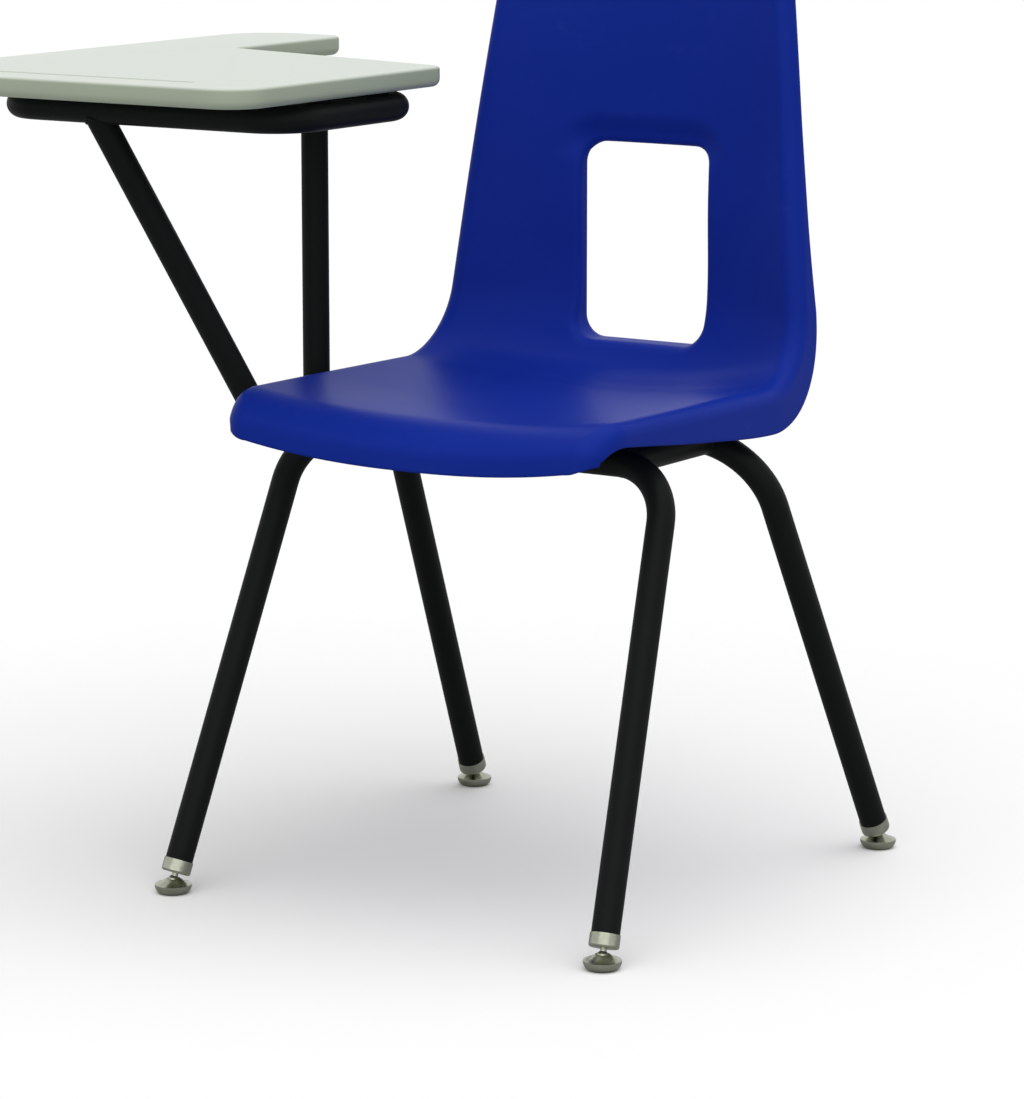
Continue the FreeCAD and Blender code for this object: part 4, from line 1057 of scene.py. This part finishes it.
# %% One network for every finish
def finish(
    name,
    tones,
    worn,
    roughness,
    relief_values,
    bump,
    wear_amount,
    metallic=0.0,
    specular=0.5,
    clouds=6.0,
):
    """A material from its tones, worn tone, range of roughness, relief and bump height."""
    material = bpy.data.materials.new(name)
    material.use_nodes = True
    tree = material.node_tree
    shader = tree.nodes["Principled BSDF"]
    shader.inputs["Metallic"].default_value = metallic
    shader.inputs["Specular IOR Level"].default_value = specular
    place = add(tree, "ShaderNodeTexCoord")
    rubbed = add(tree, "ShaderNodeGroup", node_tree=wear)
    rubbed.inputs["Amount"].default_value = wear_amount
    rubbed.inputs["Clouds per metre"].default_value = clouds
    height = add(tree, "ShaderNodeGroup", node_tree=relief)
    for label, value in relief_values.items():
        height.inputs[label].default_value = value
    drift = add(tree, "ShaderNodeMix", data_type="RGBA")
    drift.inputs["A"].default_value = (*tones[0], 1)
    drift.inputs["B"].default_value = (*tones[1], 1)
    fade = add(tree, "ShaderNodeMix", data_type="RGBA")
    fade.inputs["B"].default_value = (*worn, 1)
    gloss = add(tree, "ShaderNodeMapRange")
    gloss.inputs["To Min"].default_value = roughness[0]
    gloss.inputs["To Max"].default_value = roughness[1]
    bump_node = add(tree, "ShaderNodeBump", Strength=1.0, Distance=bump)
    join(tree, place, "Object", rubbed, "Vector")
    join(tree, place, "Object", height, "Vector")
    join(tree, rubbed, "Clouds", drift, "Factor")
    tree.links.new(drift.outputs["Result"], fade.inputs["A"])
    join(tree, rubbed, "Mask", fade, "Factor")
    tree.links.new(fade.outputs["Result"], shader.inputs["Base Color"])
    join(tree, rubbed, "Clouds", gloss, "Value")
    join(tree, gloss, "Result", shader, "Roughness")
    join(tree, height, "Height", bump_node, "Height")
    join(tree, bump_node, "Normal", shader, "Normal")
    print(f"{name}: {len(tree.nodes)} nodes")
    return material


# %% [markdown]
# The shell is polypropylene coloured right through, so it has no paint to chip: wear only greys
# it. The mould's fine leather grain breaks up the reflections, which is why it looks satin and
# not wet.

# %% Blue moulded plastic
blue_plastic = finish(
    "blue_moulded_plastic",
    tones=((0.0058, 0.0230, 0.270), (0.0072, 0.0275, 0.310)),
    worn=(0.022, 0.046, 0.300),
    roughness=(0.34, 0.43),
    relief_values={"Grain per metre": 1100.0, "Tooth per metre": 5200.0, "Tooth share": 0.35},
    bump=0.05 * MM,
    wear_amount=0.35,
    specular=0.04,
)

# %% [markdown]
# The frame is powder coated: the powder melts into a skin with a faint orange peel, a few tenths
# of a millimetre across, and it is nearly black with a trace of green.

# %% Black powder coat
black_powder = finish(
    "black_powder_coat",
    tones=((0.0060, 0.0074, 0.0070), (0.0080, 0.0098, 0.0092)),
    worn=(0.030, 0.032, 0.030),
    roughness=(0.42, 0.52),
    relief_values={"Grain per metre": 1700.0, "Tooth per metre": 7000.0, "Tooth share": 0.25},
    bump=0.03 * MM,
    wear_amount=0.25,
    specular=0.07,
)

# %% [markdown]
# The board is a hard pale grey-green moulding with a satin top. Its colour varies very little,
# and what wear it has is a slight polish where sleeves and paper slide. Its sides get painted
# shade: a darker tone, blended in by how little the surface faces up, is multiplied into the base
# colour, so the edge renders darker than the lamps alone make it.

# %% Pale board
# Painted shade: this darker tone is multiplied into the board's colour where its surface faces
# sideways.
SIDE_SHADE_TONE = (0.60, 0.64, 0.54, 1)
SIDE_UPWARD = 0.15
TOP_UPWARD = 0.95


def paint_side_shade(material):
    """Paint shade on the sides: multiply the base colour by a darker tone where the surface faces
    sideways.
    """
    tree = material.node_tree
    shader = tree.nodes["Principled BSDF"]
    colour = shader.inputs["Base Color"].links[0].from_socket
    facing = add(tree, "ShaderNodeNewGeometry")
    parts = add(tree, "ShaderNodeSeparateXYZ")
    upward = add(tree, "ShaderNodeMapRange")
    upward.inputs["From Min"].default_value = SIDE_UPWARD
    upward.inputs["From Max"].default_value = TOP_UPWARD
    tone = add(tree, "ShaderNodeMix", data_type="RGBA")
    tone.inputs["A"].default_value = SIDE_SHADE_TONE
    tone.inputs["B"].default_value = (1, 1, 1, 1)
    # This multiply paints the shade onto the board's sides.
    shaded_colour = add(tree, "ShaderNodeMix", data_type="RGBA", blend_type="MULTIPLY")
    shaded_colour.inputs["Factor"].default_value = 1.0
    join(tree, facing, "Normal", parts, "Vector")
    join(tree, parts, "Z", upward, "Value")
    join(tree, upward, "Result", tone, "Factor")
    tree.links.new(colour, shaded_colour.inputs["A"])
    tree.links.new(tone.outputs["Result"], shaded_colour.inputs["B"])
    tree.links.new(shaded_colour.outputs["Result"], shader.inputs["Base Color"])


pale_board = finish(
    "pale_board",
    tones=((0.630, 0.680, 0.615), (0.670, 0.722, 0.655)),
    worn=(0.540, 0.575, 0.520),
    roughness=(0.38, 0.50),
    relief_values={"Grain per metre": 1500.0, "Tooth per metre": 6000.0, "Tooth share": 0.4},
    bump=0.015 * MM,
    wear_amount=0.20,
    specular=0.4,
    clouds=9.0,
)
# Paint shade onto the board's sides.
paint_side_shade(pale_board)

# %% [markdown]
# The glides are deep-drawn steel with a nickel plate, bright in places and clouded grey-green in
# others. Such small parts need small clouds, so theirs are ten times as dense as the board's. The
# screws under the seat have plain zinc, which is duller, and the cushions inside the glides are
# black rubber.

# %% Metals and rubber
bright_nickel = finish(
    "bright_nickel",
    tones=((0.250, 0.262, 0.198), (0.500, 0.506, 0.424)),
    worn=(0.110, 0.110, 0.080),
    roughness=(0.18, 0.32),
    relief_values={"Grain per metre": 600.0, "Tooth per metre": 3000.0, "Tooth share": 0.5},
    bump=0.02 * MM,
    wear_amount=0.7,
    metallic=1.0,
    clouds=95.0,
)
zinc_plate = finish(
    "zinc_plate",
    tones=((0.520, 0.530, 0.545), (0.600, 0.610, 0.625)),
    worn=(0.330, 0.330, 0.330),
    roughness=(0.28, 0.42),
    relief_values={"Grain per metre": 1500.0, "Tooth per metre": 6000.0, "Tooth share": 0.5},
    bump=0.015 * MM,
    wear_amount=0.5,
    metallic=1.0,
    clouds=80.0,
)
black_rubber = finish(
    "black_rubber",
    tones=((0.020, 0.020, 0.020), (0.026, 0.026, 0.026)),
    worn=(0.060, 0.060, 0.058),
    roughness=(0.70, 0.85),
    relief_values={"Grain per metre": 900.0, "Tooth per metre": 5000.0, "Tooth share": 0.4},
    bump=0.04 * MM,
    wear_amount=0.4,
    specular=0.3,
    clouds=40.0,
)

# %% [markdown]
# The record of the part names one slot for each node, so a table from slot to finish dresses
# every solid at once. A solid keeps its mesh: only the material in its slots changes.

# %% Dress every solid
FINISH_OF_SLOT = {
    "blue_shell": blue_plastic,
    "black_frame": black_powder,
    "laminate_top": pale_board,
    "bright_nickel": bright_nickel,
    "zinc_screw": zinc_plate,
    "foot_cushion": black_rubber,
}


def dress(piece, material):
    """Give a piece one material in its first slot and in any further slots."""
    if not piece.material_slots:
        piece.data.materials.append(material)
    for slot in piece.material_slots:
        slot.material = material


for entry in frame["record"]["subparts"]:
    dress(nodes[entry["node"]], FINISH_OF_SLOT[entry["material_slot"]])
dress(seat_shell_skin, blue_plastic)
dress(seat_bosses, blue_plastic)
dress(tablet_board, pale_board)
dress(weld_beads, black_powder)

# %% [markdown]
# ## The studio
# A plain pale floor, two soft lamps and an even sky. The floor is white for the camera and keeps
# the chair's shadow, but it gives back only half of the light, so that the legs stay dark. Light
# Path's Is Camera Ray tells the two apart, so the floor needs no extra light to look white.

# %% Floor
FLOOR_HALF = 9.0
FLOOR_SEEN = 1.0
FLOOR_BOUNCE = 0.48

floor_points = np.array([[-1, -1, 0], [1, -1, 0], [1, 1, 0], [-1, 1, 0]]) * FLOOR_HALF
floor = make_piece("floor", floor_points, np.array([[0, 1, 2, 3]]), body=None)
paper = bpy.data.materials.new("white_paper_floor")
paper.use_nodes = True
tree = paper.node_tree
shader = tree.nodes["Principled BSDF"]
shader.inputs["Roughness"].default_value = 0.9
shader.inputs["Specular IOR Level"].default_value = 0.1
rays = add(tree, "ShaderNodeLightPath")
shade = add(tree, "ShaderNodeMapRange")
shade.inputs["To Min"].default_value = FLOOR_BOUNCE
shade.inputs["To Max"].default_value = FLOOR_SEEN
join(tree, rays, "Is Camera Ray", shade, "Value")
join(tree, shade, "Result", shader, "Base Color")
dress(floor, paper)

# %% [markdown]
# Past the floor's edge there is only sky. It is white for the camera and nearly white for what
# the metal reflects, and it lights the chair as a soft grey. One strength for all three would
# either wash the chair out or make the picture's ground grey.

# %% Sky
AMBIENT = 0.46
MIRRORED = 0.92
BACKDROP = 1.0

world = bpy.data.worlds.new("studio_sky")
bpy.context.scene.world = world
world.use_nodes = True
tree = world.node_tree
tree.nodes.clear()
rays = add(tree, "ShaderNodeLightPath")
glossy = add(tree, "ShaderNodeMapRange")
glossy.inputs["To Min"].default_value = AMBIENT
glossy.inputs["To Max"].default_value = MIRRORED
seen = add(tree, "ShaderNodeMix", data_type="FLOAT")
seen.inputs["B"].default_value = BACKDROP
sky = add(tree, "ShaderNodeBackground")
sky.inputs["Color"].default_value = (1, 1, 1, 1)
sky_out = add(tree, "ShaderNodeOutputWorld")
join(tree, rays, "Is Glossy Ray", glossy, "Value")
join(tree, rays, "Is Camera Ray", seen, "Factor")
tree.links.new(glossy.outputs["Result"], seen.inputs["A"])
tree.links.new(seen.outputs["Result"], sky.inputs["Strength"])
join(tree, sky, "Background", sky_out, "Surface")
print(f"sky: {BACKDROP} seen, {MIRRORED} mirrored, {AMBIENT} as light")


# %% [markdown]
# The main light is one very wide soft source nearly overhead, which lights the floor evenly to
# the horizon. A weaker one of the same width stands in front, a little to the sitter's left, and
# lights the back and the lip. An area lamp near the chair would leave a hot spot on the shell and
# fall off towards the rear legs. Both are Sun lamps instead, whose angle is the width of the soft
# source as the chair sees it.

# %% Lamps
OVERHEAD_POWER = 1.55
FRONT_POWER = 0.75
SOFT_WIDTH = np.radians(75)


def hang(name, kind, spot, target):
    """A lamp at the spot, its -Z axis turned towards the target."""
    light = bpy.data.lights.new(name, kind)
    holder = bpy.data.objects.new(name, light)
    holder.location = spot
    holder.rotation_euler = (Vector(target) - Vector(spot)).to_track_quat("-Z", "Y").to_euler()
    bpy.context.scene.collection.objects.link(holder)
    return light


overhead = hang("overhead_lamp", "SUN", (0.6, -0.2, 4.0), (0.0, 0.0, 0.4))
overhead.energy = OVERHEAD_POWER
overhead.angle = SOFT_WIDTH
front = hang("front_lamp", "SUN", (1.4, -3.0, 1.5), (0.0, 0.0, 0.5))
front.energy = FRONT_POWER
front.angle = SOFT_WIDTH
print(f"lamps: {OVERHEAD_POWER} overhead and {FRONT_POWER} in front")

# %% [markdown]
# The camera stands where the photo was taken from: a quarter of a metre above the top of the
# back, 33 degrees round to the sitter's left, about four metres away, with a long lens. It was
# worked out from the four feet, the board and the seat, and is written here as real places in the
# chair's own frame.

# %% Camera
CAMERA_SPOT = np.array([2.1952, -3.1594, 1.0735])
CAMERA_TURN = np.radians(33.057)
CAMERA_PITCH = np.radians(10.735)
LENS = 146.34
SENSOR = 36.0

ahead = np.array([
    -np.sin(CAMERA_TURN) * np.cos(CAMERA_PITCH),
    np.cos(CAMERA_TURN) * np.cos(CAMERA_PITCH),
    -np.sin(CAMERA_PITCH),
])
right = np.array([np.cos(CAMERA_TURN), np.sin(CAMERA_TURN), 0.0])
up = np.cross(right, ahead)
camera_data = bpy.data.cameras.new("camera")
camera_data.sensor_fit = "VERTICAL"
camera_data.sensor_height = SENSOR
camera_data.lens = LENS
camera_data.clip_start = 0.05
camera = bpy.data.objects.new("camera", camera_data)
bpy.context.scene.collection.objects.link(camera)
turn = Matrix(np.stack([right, up, -ahead], -1).tolist())
camera.matrix_world = Matrix.Translation(Vector(CAMERA_SPOT + CHAIR)) @ turn.to_4x4()
bpy.context.scene.camera = camera
bpy.context.scene.view_settings.view_transform = "Standard"
print("the camera stands at", (CAMERA_SPOT + CHAIR).round(3))
